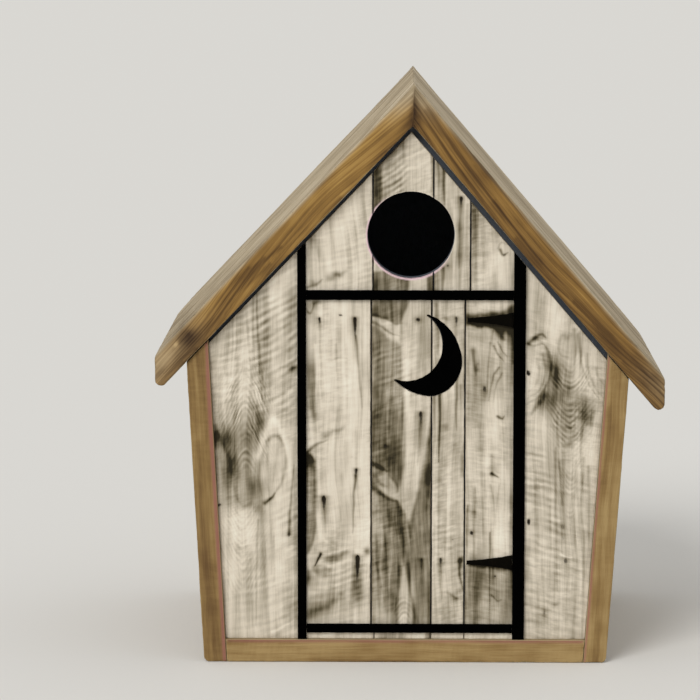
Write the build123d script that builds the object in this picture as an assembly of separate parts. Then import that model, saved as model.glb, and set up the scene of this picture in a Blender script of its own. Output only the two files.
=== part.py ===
"""Small wooden nest box in the shape of an outhouse, as separate boards in millimetres.

+Z is up, the front faces -Y, and the origin is under the middle of the eaves, on the ground.
"""
from build123d import *
from dataclasses import dataclass
from math import cos, radians, sin, tan
import os

# Base and side walls
wall_depth = 160.0
wall_thickness = 10.2
left_foot = 91.3
right_foot = 87.6
left_lean_deg = 3.0
right_lean_deg = 4.0
foot_round = 2.6
floor_thickness = 10.2

# Roof boards
ridge_x = 1.2
ridge_height = 238.5
left_pitch_deg = 46.3
right_pitch_deg = 49.4
roof_thickness = 12.3
roof_overhang = 2.0
left_eave_overhang = 13.86
right_eave_overhang = 15.7
eave_round = 4.6
drip_round = 2.8
rear_corner_round = 20.0
arris_round = 0.8
wall_arris_round = 0.5

# Face boards and the panel behind them
face_recess = 2.4
board_thickness = 4.0
panel_thickness = 5.0
board_joint = 0.35
left_roof_gap = 1.4
right_roof_gap = 2.1
door_joints = (-16.95, 9.7, 24.4)
gable_joints = (-16.2, 10.4, 26.6)
kick_joints = (-15.6, 9.4, 24.4)

# Entry hole, placed from the ridge
entry_offset = -0.7
entry_drop = 48.0
entry_diameter = 38.1

# Black strips round the door, placed from the entry hole and the base
strip_thickness = 1.6
left_strip_x = -47.5
left_strip_width = 4.0
right_strip_x = 48.35
right_strip_width = 5.4
head_below_entry = 7.3
head_strip_width = 4.4
sill_above_floor = 4.9
sill_strip_width = 4.0

# Crescent on the door: its middle, and points of its outline about that middle
moon_x = 7.2
moon_below_head = 27.65
moon_upper_tip = (0.75, 18.6)
moon_upper_horn = (8.7, 13.8)
moon_shoulder = (14.6, 3.7)
moon_back = (12.7, -11.0)
moon_belly = (2.7, -17.2)
moon_lower_horn = (-5.3, -15.6)
moon_lower_tip = (-13.6, -10.1)
moon_bite = (7.1, 1.3)
moon_recess = 0.8
moon_clearance = 0.15

# Strap hinges, placed from the head and sill strips
hinge_below_head = 10.95
hinge_above_sill = 29.8
hinge_length = 20.4
hinge_thickness = 1.1
hinge_tip_height = 2.0
hinge_neck_height = 3.6
hinge_root_height = 7.0

# Rear wall
back_recess = 2.4
back_board_count = 5

# Depth of each layer, from the front to the back
wall_front = -wall_depth / 2
wall_back = wall_depth / 2
roof_front = wall_front - roof_overhang
roof_back = wall_back + roof_overhang
board_front = wall_front + face_recess
panel_front = board_front + board_thickness
panel_back = panel_front + panel_thickness
back_board_rear = wall_back - back_recess
back_panel_rear = back_board_rear - board_thickness
back_panel_inner = back_panel_rear - panel_thickness

# Heights and places that follow from the ones above
entry_x = ridge_x + entry_offset
entry_height = ridge_height - entry_drop
head_strip_z = entry_height - entry_diameter / 2 - head_below_entry
sill_strip_z = floor_thickness + sill_above_floor
moon_height = head_strip_z - moon_below_head
hinge_heights = {"upper": head_strip_z - hinge_below_head, "lower": sill_strip_z + hinge_above_sill}

# Parts of the mitre between the two roof boards
mitre_tilt = radians(left_pitch_deg - right_pitch_deg) / 2
mitre_length = roof_thickness / cos(radians(left_pitch_deg + right_pitch_deg) / 2)
ridge_under = (ridge_x, ridge_height)
ridge_top = (ridge_x - mitre_length * sin(mitre_tilt), ridge_height + mitre_length * cos(mitre_tilt))


@dataclass
class Side:
    """One half of the house front: its leaning wall and its roof slope."""

    sign: int
    foot: float
    lean: float
    pitch: float
    eave_overhang: float
    roof_gap: float

    def wall_x(self, inset, height):
        """Distance east of the origin of a line that follows the wall, inset from its outer face."""
        slant = tan(radians(self.lean))
        return self.sign * (self.foot - inset / cos(radians(self.lean)) + height * slant)

    def under_roof(self, x, drop=0.0):
        """Height of a line that follows the roof's underside, a perpendicular drop below it."""
        run = self.sign * (x - ridge_x)
        return ridge_height - drop / cos(radians(self.pitch)) - run * tan(radians(self.pitch))

    def corner(self, inset, drop=0.0):
        """Point where the wall line at the inset meets the roof line at the drop."""
        slope = tan(radians(self.pitch))
        slant = tan(radians(self.lean))
        base = self.sign * self.wall_x(inset, 0.0)
        eaves_drop = slope * (base - self.sign * ridge_x)
        top = ridge_height - drop / cos(radians(self.pitch))
        height = (top - eaves_drop) / (1 + slope * slant)
        return (self.wall_x(inset, height), height)


left = Side(-1, left_foot, left_lean_deg, left_pitch_deg, left_eave_overhang, left_roof_gap)
right = Side(1, right_foot, right_lean_deg, right_pitch_deg, right_eave_overhang, right_roof_gap)
sides = {"left": left, "right": right}


def between(profile, front, back):
    """Solid that carries a front-view profile from one depth to another."""
    return extrude(Plane.XZ.offset(-front) * profile, amount=front - back)


def outline(*points):
    """Closed front-view face through the points."""
    return make_face(Polyline(*points, close=True))


def corner_of(face, point):
    """Vertex of a face that lies nearest to a front-view point."""
    return face.vertices().sort_by_distance(Vector(point[0], point[1], 0))[0]


def span(x_from, x_to, z_from, z_to):
    """Upright rectangle between two distances across and two heights."""
    middle = ((x_from + x_to) / 2, (z_from + z_to) / 2)
    return Pos(*middle) * Rectangle(x_to - x_from, z_to - z_from)


def eased(solid, front, back, radius):
    """Solid with its front and back outlines rounded over, as a worn board has them."""
    rims = solid.edges().filter_by_position(Axis.Y, front, front)
    rims += solid.edges().filter_by_position(Axis.Y, back, back)
    return fillet(rims, radius)


def make_wall(side):
    """Leaning side wall, bevelled on top to carry the roof and rounded at its outer foot."""
    outer_foot = (side.wall_x(0, 0), 0)
    inner_foot = (side.wall_x(wall_thickness, 0), 0)
    face = outline(outer_foot, inner_foot, side.corner(wall_thickness), side.corner(0))
    face = fillet(corner_of(face, outer_foot), foot_round)
    return eased(between(face, wall_front, wall_back), wall_front, wall_back, wall_arris_round)


def rear_corner_offcut(side, eave_x):
    """Upright offcut that leaves a roof board's rear eave corner rounded in plan."""
    block = Pos(eave_x, roof_back) * Rectangle(2 * rear_corner_round, 2 * rear_corner_round)
    centre = Pos(eave_x - side.sign * rear_corner_round, roof_back - rear_corner_round)
    return extrude(block - centre * Circle(rear_corner_round), amount=ridge_height)


def make_roof_board(side):
    """Roof board from the ridge mitre to its plumb cut, with a rounded eave and drip edge."""
    eave_x = side.corner(0)[0] + side.sign * side.eave_overhang
    drip = (eave_x, side.under_roof(eave_x))
    eave = (eave_x, side.under_roof(eave_x, -roof_thickness))
    face = outline(ridge_under, ridge_top, eave, drip)
    face = fillet(corner_of(face, drip), drip_round)
    face = fillet(corner_of(face, eave), eave_round)
    board = eased(between(face, roof_front, roof_back), roof_front, roof_back, arris_round)
    return board - rear_corner_offcut(side, eave_x)


def make_floor():
    """Base board between the walls, its ends bevelled to their lean."""
    feet = [(side.wall_x(wall_thickness, 0), 0) for side in (left, right)]
    tops = [(side.wall_x(wall_thickness, floor_thickness), floor_thickness) for side in (right, left)]
    board = between(outline(*feet, *tops), wall_front, wall_back)
    return eased(board, wall_front, wall_back, wall_arris_round)


def gable_face(left_gap=0.0, right_gap=0.0):
    """Front-view face between the walls, from the floor up to the roof or to a gap below each slope."""
    lower = [(side.wall_x(wall_thickness, floor_thickness), floor_thickness) for side in (left, right)]
    left_edge = left.under_roof(ridge_x, left_gap)
    right_edge = right.under_roof(ridge_x, right_gap)
    slopes = tan(radians(right.pitch)) + tan(radians(left.pitch))
    shift = (right_edge - left_edge) / slopes
    peak = (ridge_x + shift, left_edge + shift * tan(radians(left.pitch)))
    upper = [right.corner(wall_thickness, right_gap), peak, left.corner(wall_thickness, left_gap)]
    return outline(*lower, *upper)


def boarded_face():
    """Front-view face that the boards and strips cover, short of the roof by each side's gap."""
    return gable_face(left.roof_gap, right.roof_gap)


def entry_disc():
    """Round entry hole in the front view."""
    return Pos(entry_x, entry_height) * Circle(entry_diameter / 2)


def moon_face(grow=0.0):
    """Crescent in the front view: a round back, an inner bite and two drawn-out horns."""
    edges = [
        ThreePointArc(moon_upper_tip, moon_upper_horn, moon_shoulder),
        ThreePointArc(moon_shoulder, moon_back, moon_belly),
        ThreePointArc(moon_belly, moon_lower_horn, moon_lower_tip),
        ThreePointArc(moon_lower_tip, moon_bite, moon_upper_tip),
    ]
    face = make_face(edges)
    if grow:
        face = offset(face, amount=grow)
    return Pos(moon_x, moon_height) * face


def row_of_boards(face, joints, z_from, z_to, front, back, cuts=()):
    """Boards side by side: the part of a face between each pair of joints, less the cuts."""
    boards = []
    for x_from, x_to in zip(joints, joints[1:]):
        piece = face & span(x_from + board_joint / 2, x_to - board_joint / 2, z_from, z_to)
        for cut in cuts:
            piece = piece - cut
        boards.append(between(piece, front, back))
    return boards


def make_front():
    """Backing panel, close up to the roof, and every weathered board of the front."""
    face = boarded_face()
    box = face.bounding_box()
    half_joint = board_joint / 2
    door_top = head_strip_z - half_joint
    door_foot = sill_strip_z + half_joint
    gable_foot = head_strip_z + half_joint
    kick_top = sill_strip_z - half_joint
    jambs = (left_strip_x, right_strip_x)
    outer = (box.min.X - board_joint, *jambs, box.max.X + board_joint)
    door = (jambs[0], *door_joints, jambs[1])
    gable = (jambs[0], *gable_joints, jambs[1])
    kick = (jambs[0], *kick_joints, jambs[1])
    layer = (board_front, panel_front)
    whole = row_of_boards(face, outer, box.min.Y, box.max.Y, *layer)
    nodes = {
        "front_panel": between(gable_face() - entry_disc(), panel_front, panel_back),
        "front_board_left": whole[0],
        "front_board_right": whole[2],
    }
    rows = {
        "door_board": row_of_boards(face, door, door_foot, door_top, *layer, [moon_face(moon_clearance)]),
        "gable_board": row_of_boards(face, gable, gable_foot, box.max.Y, *layer, [entry_disc()]),
    }
    for name, boards in rows.items():
        for number, board in enumerate(boards, 1):
            nodes[f"{name}_{number}"] = board
    nodes["kick_boards"] = Compound(row_of_boards(face, kick, box.min.Y, kick_top, *layer))
    return nodes


def make_strips():
    """Black strips nailed over the boards round the door."""
    face = boarded_face()
    box = face.bounding_box()
    front = board_front - strip_thickness
    left_edges = (left_strip_x - left_strip_width / 2, left_strip_x + left_strip_width / 2)
    right_edges = (right_strip_x - right_strip_width / 2, right_strip_x + right_strip_width / 2)
    shapes = {
        "jamb_strip_left": face & span(*left_edges, box.min.Y, box.max.Y),
        "jamb_strip_right": face & span(*right_edges, box.min.Y, box.max.Y),
    }
    for name, middle, width in (
        ("head_strip", head_strip_z, head_strip_width),
        ("sill_strip", sill_strip_z, sill_strip_width),
    ):
        shapes[name] = span(left_edges[1], right_edges[0], middle - width / 2, middle + width / 2)
    return {name: between(shape, front, board_front) for name, shape in shapes.items()}


def make_hinge(height):
    """Strap that flares from its tip into its root, laid on the last door board."""
    root = right_strip_x - right_strip_width / 2
    upper = [
        (root - hinge_length, hinge_tip_height / 2),
        (root - hinge_length / 2, hinge_neck_height / 2),
        (root, hinge_root_height / 2),
    ]
    lower = [(x, -z) for x, z in reversed(upper)]
    edges = [Spline(*upper), Line(upper[-1], lower[0]), Spline(*lower), Line(lower[-1], upper[0])]
    return between(Pos(0, height) * make_face(edges), board_front - hinge_thickness, board_front)


def make_back():
    """Rear wall: an inner panel with upright boards on it, built as the front is."""
    face = boarded_face()
    box = face.bounding_box()
    board_pitch = (box.max.X - box.min.X + 2 * board_joint) / back_board_count
    joints = [box.min.X - board_joint + number * board_pitch for number in range(back_board_count + 1)]
    nodes = {"back_panel": between(gable_face(), back_panel_inner, back_panel_rear)}
    row = row_of_boards(face, joints, box.min.Y, box.max.Y, back_panel_rear, back_board_rear)
    for number, board in enumerate(row, 1):
        nodes[f"back_board_{number}"] = board
    return nodes


nodes = {"floor_board": make_floor()}
for name, side in sides.items():
    nodes[f"side_wall_{name}"] = make_wall(side)
    nodes[f"roof_board_{name}"] = make_roof_board(side)
nodes.update(make_front())
nodes.update(make_strips())
nodes["moon_inlay"] = between(moon_face(), board_front + moon_recess, panel_front)
for name, height in hinge_heights.items():
    nodes[f"hinge_strap_{name}"] = make_hinge(height)
nodes.update(make_back())

os.makedirs("parts", exist_ok=True)
for name, solid in nodes.items():
    export_step(solid, f"parts/{name}.step")
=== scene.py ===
"""Finish of the weathered outhouse nest box: worn boards, cedar roof and walls, black trim and hinges."""
import logging
import math
from dataclasses import dataclass, field, replace
from enum import Enum
from typing import Iterable, Sequence

import bmesh
import bpy
import numpy as np
from mathutils import Euler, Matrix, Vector
from mathutils.geometry import delaunay_2d_cdt


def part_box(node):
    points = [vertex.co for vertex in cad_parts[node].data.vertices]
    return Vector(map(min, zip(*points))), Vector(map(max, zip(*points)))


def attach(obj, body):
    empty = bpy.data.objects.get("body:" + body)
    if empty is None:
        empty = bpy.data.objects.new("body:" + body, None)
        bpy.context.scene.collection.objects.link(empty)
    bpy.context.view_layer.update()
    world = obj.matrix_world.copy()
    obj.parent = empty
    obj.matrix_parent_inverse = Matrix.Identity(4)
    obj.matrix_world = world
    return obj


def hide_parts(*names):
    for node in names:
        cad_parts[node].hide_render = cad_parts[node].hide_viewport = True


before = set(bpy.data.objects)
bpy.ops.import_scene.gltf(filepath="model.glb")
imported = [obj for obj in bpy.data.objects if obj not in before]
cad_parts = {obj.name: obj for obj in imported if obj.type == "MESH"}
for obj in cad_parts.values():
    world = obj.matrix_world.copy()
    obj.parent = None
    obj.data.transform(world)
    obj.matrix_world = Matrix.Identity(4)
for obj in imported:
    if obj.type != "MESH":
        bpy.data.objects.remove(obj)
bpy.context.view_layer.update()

MM = 0.001
BODY = "root"
LOG = logging.getLogger("outhouse")

# The noise's hash: a factor for each measure and the seed, then rounds of a shift and a factor, in 32 bits
HASH_PLACES = np.array([374761393, 668265263, 1274126177], np.int64)
HASH_SEED = 974634777
HASH_ROUNDS = ((15, 2246822519), (13, 3266489917))
HASH_BITS = 0xFFFFFFFF

Colour = tuple[int, int, int]
Ramp = tuple[tuple[float, Colour], ...]


def linear(colour: Colour) -> tuple[float, float, float, float]:
    """Turn a screen colour of 0 to 255 into the linear values that a shader takes.

    Args:
        colour: red, green and blue, 0 to 255.

    Returns:
        Linear red, green, blue and an alpha of 1.
    """
    parts = [part / 255 for part in colour]
    return (*[p / 12.92 if p <= 0.04045 else ((p + 0.055) / 1.055) ** 2.4 for p in parts], 1.0)


def smooth_noise(points: np.ndarray, size: Sequence[float], seed: int) -> np.ndarray:
    """Smooth seeded noise from -1 to 1, the same on every run.

    Args:
        points: places, one row of three millimetre values each.
        size: how far the noise reaches along each of the three measures, in millimetres.
        seed: picks the pattern.

    Returns:
        One value for each point.
    """
    scaled = points / np.asarray(size, float) + 17.31 * (seed + 1)
    base = np.floor(scaled).astype(np.int64)
    part = scaled - base
    part = part * part * (3 - 2 * part)
    total = np.zeros(len(points))
    for corner in range(8):
        step = np.array([corner & 1, corner >> 1 & 1, corner >> 2 & 1])
        mixed = ((base + step) @ HASH_PLACES + seed * HASH_SEED) & HASH_BITS
        for shift, factor in HASH_ROUNDS:
            mixed = ((mixed ^ (mixed >> shift)) * factor) & HASH_BITS
        value = ((mixed ^ (mixed >> 16)) & 0xFFFFFF) / 0xFFFFFF
        total += np.prod(np.where(step == 1, part, 1 - part), axis=1) * value
    return 2 * total - 1


def eased_step(value: np.ndarray, low: float, high: float) -> np.ndarray:
    """Rise smoothly from 0 at low to 1 at high."""
    share = np.clip((value - low) / (high - low), 0, 1)
    return share * share * (3 - 2 * share)


def enclosed(points: np.ndarray, starts: np.ndarray, ends: np.ndarray) -> np.ndarray:
    """Tell for each point whether closed outlines surround it.

    Args:
        points: places, one row of two values each.
        starts: start point of every outline edge.
        ends: end point of every outline edge.

    Returns:
        True for each point inside.
    """
    inside = np.zeros(len(points), bool)
    for (x0, z0), (x1, z1) in zip(starts, ends):
        if z0 != z1:
            crosses = (points[:, 1] > z0) != (points[:, 1] > z1)
            inside ^= crosses & (points[:, 0] < x0 + (points[:, 1] - z0) * (x1 - x0) / (z1 - z0))
    return inside


# Node trees

class Wiring:
    """Writes nodes into a shader or geometry tree."""

    def __init__(self, tree: bpy.types.NodeTree) -> None:
        """Take the tree that the nodes go into."""
        self.tree = tree

    def add(self, kind: str, **settings: object) -> bpy.types.Node:
        """Add one node.

        Args:
            kind: the node's type name.
            settings: properties of the node, by name.

        Returns:
            The new node.
        """
        node = self.tree.nodes.new(kind)
        for name, value in settings.items():
            setattr(node, name, value)
        return node

    def feed(self, socket: bpy.types.NodeSocket, value: object) -> None:
        """Link a socket to another, or set its plain value.

        Args:
            socket: the input that is fed.
            value: another node's output, or a plain value.
        """
        if isinstance(value, bpy.types.NodeSocket):
            self.tree.links.new(value, socket)
        else:
            socket.default_value = value

    def math(self, operation: str, *values: object) -> bpy.types.NodeSocket:
        """Add a Math node and give its result.

        Args:
            operation: the node's operation.
            values: what its inputs take, in order.

        Returns:
            The result.
        """
        node = self.add("ShaderNodeMath", operation=operation)
        for socket, value in zip(node.inputs, values):
            self.feed(socket, value)
        return node.outputs[0]

    def scaled(self, vector: object, *factors: object) -> bpy.types.NodeSocket:
        """Multiply a vector by three factors, one for each part.

        Args:
            vector: the vector.
            factors: one factor for each part.

        Returns:
            The scaled vector.
        """
        joined = self.add("ShaderNodeCombineXYZ")
        for socket, value in zip(joined.inputs, factors):
            self.feed(socket, value)
        node = self.add("ShaderNodeVectorMath", operation="MULTIPLY")
        self.feed(node.inputs[0], vector)
        self.feed(node.inputs[1], joined.outputs[0])
        return node.outputs[0]

    def noise(self, vector: object, detail: float, roughness: float, seed: object) -> bpy.types.NodeSocket:
        """Add a seeded noise over a vector and give its value, about 0.5 in the middle.

        Args:
            vector: where the noise is read.
            detail: how many finer layers it has.
            roughness: how strong they are.
            seed: picks the pattern.

        Returns:
            The noise's value.
        """
        node = self.add("ShaderNodeTexNoise", noise_dimensions="4D")
        self.feed(node.inputs["Vector"], vector)
        self.feed(node.inputs["W"], seed)
        node.inputs["Scale"].default_value = 1.0
        node.inputs["Detail"].default_value = detail
        node.inputs["Roughness"].default_value = roughness
        return node.outputs[0]

    def ranged(self, value: object, low: float, high: float, to_low: object = 0.0, to_high: object = 1.0,
               shape: str = "LINEAR") -> bpy.types.NodeSocket:
        """Carry a value from one range to another and give the result.

        Args:
            value: the value.
            low: start of its range.
            high: end of its range.
            to_low: start of the new range.
            to_high: end of the new range.
            shape: how it runs between them.

        Returns:
            The carried value.
        """
        node = self.add("ShaderNodeMapRange", interpolation_type=shape)
        self.feed(node.inputs["Value"], value)
        node.inputs["From Min"].default_value = low
        node.inputs["From Max"].default_value = high
        self.feed(node.inputs["To Min"], to_low)
        self.feed(node.inputs["To Max"], to_high)
        return node.outputs[0]

    def blend(self, factor: object, first: object, second: object) -> bpy.types.NodeSocket:
        """Mix two colours and give the result.

        Args:
            factor: share of the second colour.
            first: one colour.
            second: the other.

        Returns:
            The mixed colour.
        """
        node = self.add("ShaderNodeMix", data_type="RGBA")
        self.feed(node.inputs[0], factor)
        self.feed(node.inputs[6], first)
        self.feed(node.inputs[7], second)
        return node.outputs[2]

    def ramp(self, value: object, stops: Ramp) -> bpy.types.NodeSocket:
        """Colour a value by stops and give the colour.

        Args:
            value: the value, 0 to 1.
            stops: places and screen colours.

        Returns:
            The colour.
        """
        node = self.add("ShaderNodeValToRGB")
        self.feed(node.inputs[0], value)
        elements = node.color_ramp.elements
        while len(elements) < len(stops):
            elements.new(0.5)
        for element, (place, colour) in zip(elements, stops):
            element.position = place
            element.color = linear(colour)
        return node.outputs[0]

    def field(self, name: str) -> bpy.types.NodeSocket:
        """Read a value that the mesh carries, in a shader tree."""
        return self.add("ShaderNodeAttribute", attribute_name=name).outputs["Fac"]

    def socket(self, name: str, kind: str, output: bool = False) -> None:
        """Add a named socket to the tree's own interface."""
        self.tree.interface.new_socket(name=name, in_out="OUTPUT" if output else "INPUT", socket_type=kind)

    def place_group(self, group: bpy.types.NodeTree, **values: object) -> bpy.types.Node:
        """Put a node group into the tree and feed its inputs by name.

        Args:
            group: the node group.
            values: what its inputs take, with _ for a space.

        Returns:
            The group's node.
        """
        node = self.add("ShaderNodeGroup")
        node.node_tree = group
        for name, value in values.items():
            self.feed(node.inputs[name.replace("_", " ")], value)
        return node


class Effects:
    """Shader node groups that several finishes share, each built once."""

    def __init__(self) -> None:
        """Build the five groups."""
        self.fibre = self._fibre()
        self.rings = self._rings()
        self.saw = self._saw()
        self.crack = self._crack()
        self.edge = self._edge()

    @staticmethod
    def _start(name: str, values: Iterable[str],
               results: Iterable[str]) -> tuple[Wiring, bpy.types.NodeOutputs, bpy.types.NodeInputs]:
        """Open a group that reads the grain's places and some plain values.

        Args:
            name: the group's name.
            values: names of the plain values.
            results: names of the values that it puts out.

        Returns:
            The wiring, what the group is given and what it puts out.
        """
        wiring = Wiring(bpy.data.node_groups.new(name, "ShaderNodeTree"))
        wiring.socket("Grain", "NodeSocketVector")
        for label in values:
            wiring.socket(label, "NodeSocketFloat")
        for label in results:
            wiring.socket(label, "NodeSocketFloat", output=True)
        return wiring, wiring.add("NodeGroupInput").outputs, wiring.add("NodeGroupOutput").inputs

    def _fibre(self) -> bpy.types.NodeTree:
        """Long and short fibres that follow the grain.

        Returns:
            The group, with its results Coarse and Fine from 0 to 1.
        """
        wiring, given, result = self._start("wood_fibre", ("Width", "Length", "Seed"), ("Coarse", "Fine"))
        grain, seed = given["Grain"], given["Seed"]
        across = wiring.math("DIVIDE", 1.0, given["Width"])
        along = wiring.math("DIVIDE", 1.0, given["Length"])
        coarse = wiring.noise(wiring.scaled(grain, across, across, along), 3.0, 0.62, seed)
        thin = wiring.math("MULTIPLY", across, 3.4)
        short = wiring.math("MULTIPLY", along, 2.6)
        fine = wiring.noise(wiring.scaled(grain, thin, thin, short), 2.0, 0.7, seed)
        wiring.feed(result["Coarse"], wiring.ranged(coarse, 0.3, 0.7))
        wiring.feed(result["Fine"], wiring.ranged(fine, 0.28, 0.72))
        return wiring.tree

    def _rings(self) -> bpy.types.NodeTree:
        """Dark late-wood lines of the growth rings, which run along the grain.

        Returns:
            The group, with its results Line and Band from 0 to 1.
        """
        wiring, given, result = self._start("growth_rings", ("Across", "Through", "Seed"), ("Line", "Band"))
        spread = wiring.scaled(given["Grain"], given["Across"], given["Through"], 0.011)
        lines = wiring.noise(spread, 1.0, 0.5, given["Seed"])
        wide = wiring.noise(wiring.scaled(spread, 0.3, 0.3, 0.8), 1.0, 0.5, given["Seed"])
        wiring.feed(result["Line"], wiring.ranged(lines, 0.42, 0.66, shape="SMOOTHSTEP"))
        wiring.feed(result["Band"], wiring.ranged(wide, 0.35, 0.65))
        return wiring.tree

    def _saw(self) -> bpy.types.NodeTree:
        """Faint cross marks of the saw, stronger in some places.

        Returns:
            The group, with its result Mark from -1 to 1.
        """
        wiring, given, result = self._start("saw_marks", ("Sawn", "Spacing", "Seed"), ("Mark",))
        place = wiring.add("ShaderNodeSeparateXYZ")
        wiring.feed(place.inputs[0], given["Grain"])
        joined = wiring.add("ShaderNodeCombineXYZ")
        wiring.feed(joined.inputs[0], wiring.math("MULTIPLY", place.outputs[0], 0.16))
        wiring.feed(joined.inputs[1], wiring.math("MULTIPLY", place.outputs[1], 0.1))
        wiring.feed(joined.inputs[2], wiring.math("DIVIDE", given["Sawn"], given["Spacing"]))
        lines = wiring.noise(joined.outputs[0], 2.0, 0.6, given["Seed"])
        patch = wiring.noise(wiring.scaled(given["Grain"], 0.06, 0.06, 0.022), 1.0, 0.5, given["Seed"])
        mark = wiring.math("MULTIPLY", wiring.ranged(lines, 0.36, 0.64, -1.0, 1.0),
                           wiring.ranged(patch, 0.4, 0.62, 0.3, 1.0))
        wiring.feed(result["Mark"], mark)
        return wiring.tree

    def _crack(self) -> bpy.types.NodeTree:
        """Ragged mask of the checks and holes that the mesh marks.

        Returns:
            The group, with its result Mask from 0 to 1.
        """
        wiring, given, result = self._start("crack_mask", ("Cut",), ("Mask",))
        grit = wiring.noise(wiring.scaled(given["Grain"], 1.6, 1.6, 0.7), 2.0, 0.6, 0.0)
        ragged = wiring.math("ADD", given["Cut"], wiring.ranged(grit, 0.3, 0.7, -0.14, 0.14))
        wiring.feed(result["Mask"], wiring.ranged(ragged, 0.22, 0.78, shape="SMOOTHSTEP"))
        return wiring.tree

    def _edge(self) -> bpy.types.NodeTree:
        """Mask that is 1 on an edge and fades unevenly inwards.

        Returns:
            The group, with its result Mask from 0 to 1.
        """
        wiring, given, result = self._start("edge_wear", ("Rim", "Reach"), ("Mask",))
        grit = wiring.noise(wiring.scaled(given["Grain"], 0.5, 0.5, 0.16), 2.0, 0.6, 3.0)
        reach = wiring.math("MULTIPLY", given["Reach"], wiring.ranged(grit, 0.3, 0.7, 0.45, 1.6))
        share = wiring.math("DIVIDE", given["Rim"], reach)
        wiring.feed(result["Mask"], wiring.ranged(share, 0.0, 1.0, 1.0, 0.0, "SMOOTHSTEP"))
        return wiring.tree


@dataclass(frozen=True)
class Surface:
    """Roughness, gloss and bump of a finish, which every shader takes in the same way."""

    roughness: float
    specular: float
    bump: float
    bump_mm: float
    roughness_spread: float

    @staticmethod
    def start(name: str) -> tuple[bpy.types.Material, Wiring, bpy.types.NodeInputs]:
        """Open a material.

        Args:
            name: the material's name.

        Returns:
            The material, its wiring and the inputs of its shader.
        """
        made = bpy.data.materials.new(name)
        made.use_nodes = True
        return made, Wiring(made.node_tree), made.node_tree.nodes["Principled BSDF"].inputs

    def dress(self, wiring: Wiring, shader: bpy.types.NodeInputs, colour: object, gloss: object,
              height: object) -> None:
        """Feed the shader.

        Args:
            wiring: the material's wiring.
            shader: the inputs of its shader.
            colour: what gives the base colour.
            gloss: value from 0 to 1 that varies the roughness.
            height: what gives the bump.
        """
        wiring.feed(shader["Base Color"], colour)
        low, high = self.roughness - self.roughness_spread, self.roughness + self.roughness_spread
        wiring.feed(shader["Roughness"], wiring.ranged(gloss, 0.0, 1.0, low, high))
        wiring.feed(shader["Specular IOR Level"], self.specular)
        bump = wiring.add("ShaderNodeBump")
        wiring.feed(bump.inputs["Strength"], self.bump)
        wiring.feed(bump.inputs["Distance"], self.bump_mm * MM)
        wiring.feed(bump.inputs["Height"], height)
        wiring.feed(shader["Normal"], bump.outputs["Normal"])


@dataclass(frozen=True)
class WoodFinish:
    """Finish of a sort of board: colours by how dark a spot is, on its show face and on its other sides.

    The lengths are in millimetres, and the shares say how far each effect darkens the wood.
    """

    name: str
    face: Ramp
    side: Ramp
    blush: Colour
    crack: Colour = (34, 28, 15)
    fibre_width: float = 1.1
    fibre_length: float = 26.0
    coarse: float = 0.16
    fine: float = 0.12
    ring: float = 0.16
    band: float = 0.14
    ring_across: float = 0.42
    ring_through: float = 0.1
    saw: float = 0.1
    saw_spacing: float = 1.7
    edge: float = 0.12
    edge_reach: float = 0.9
    surface: Surface = Surface(roughness=0.82, specular=0.22, bump=0.5, bump_mm=0.3, roughness_spread=0.08)

    def material(self, effects: Effects) -> bpy.types.Material:
        """Build the material.

        Args:
            effects: the shared node groups.

        Returns:
            The material.
        """
        made, wiring, shader = Surface.start(self.name)
        grain = wiring.add("ShaderNodeAttribute", attribute_name="grain").outputs["Vector"]
        fibre = wiring.place_group(effects.fibre, Grain=grain, Width=self.fibre_width,
                                   Length=self.fibre_length, Seed=1.0).outputs
        rings = wiring.place_group(effects.rings, Grain=grain, Across=self.ring_across,
                                   Through=self.ring_through, Seed=7.0).outputs
        saw = wiring.place_group(effects.saw, Grain=grain, Sawn=wiring.field("sawn"),
                                 Spacing=self.saw_spacing, Seed=5.0).outputs["Mark"]
        edge = wiring.place_group(effects.edge, Grain=grain, Rim=wiring.field("rim"), Reach=self.edge_reach)
        crack = wiring.place_group(effects.crack, Grain=grain, Cut=wiring.field("cut")).outputs["Mask"]
        face = wiring.field("face")
        tone = wiring.field("tone")
        for value, strength, middle in ((fibre["Coarse"], self.coarse, 0.5), (fibre["Fine"], self.fine, 0.5),
                                        (rings["Line"], self.ring, 0.35), (rings["Band"], self.band, 0.5)):
            shifted = wiring.math("MULTIPLY_ADD", value, strength, -middle * strength)
            tone = wiring.math("ADD", tone, shifted)
        tone = wiring.math("MULTIPLY_ADD", wiring.math("MULTIPLY", saw, self.saw), face, tone)
        tone = wiring.math("MULTIPLY_ADD", edge.outputs["Mask"], self.edge, tone)
        colour = wiring.blend(face, wiring.ramp(tone, self.side), wiring.ramp(tone, self.face))
        colour = wiring.blend(wiring.field("blush"), colour, linear(self.blush))
        colour = wiring.blend(crack, colour, linear(self.crack))
        height = wiring.math("MULTIPLY_ADD", fibre["Coarse"], -0.6,
                             wiring.math("MULTIPLY", fibre["Fine"], -0.4))
        self.surface.dress(wiring, shader, colour, fibre["Fine"], height)
        return made


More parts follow.
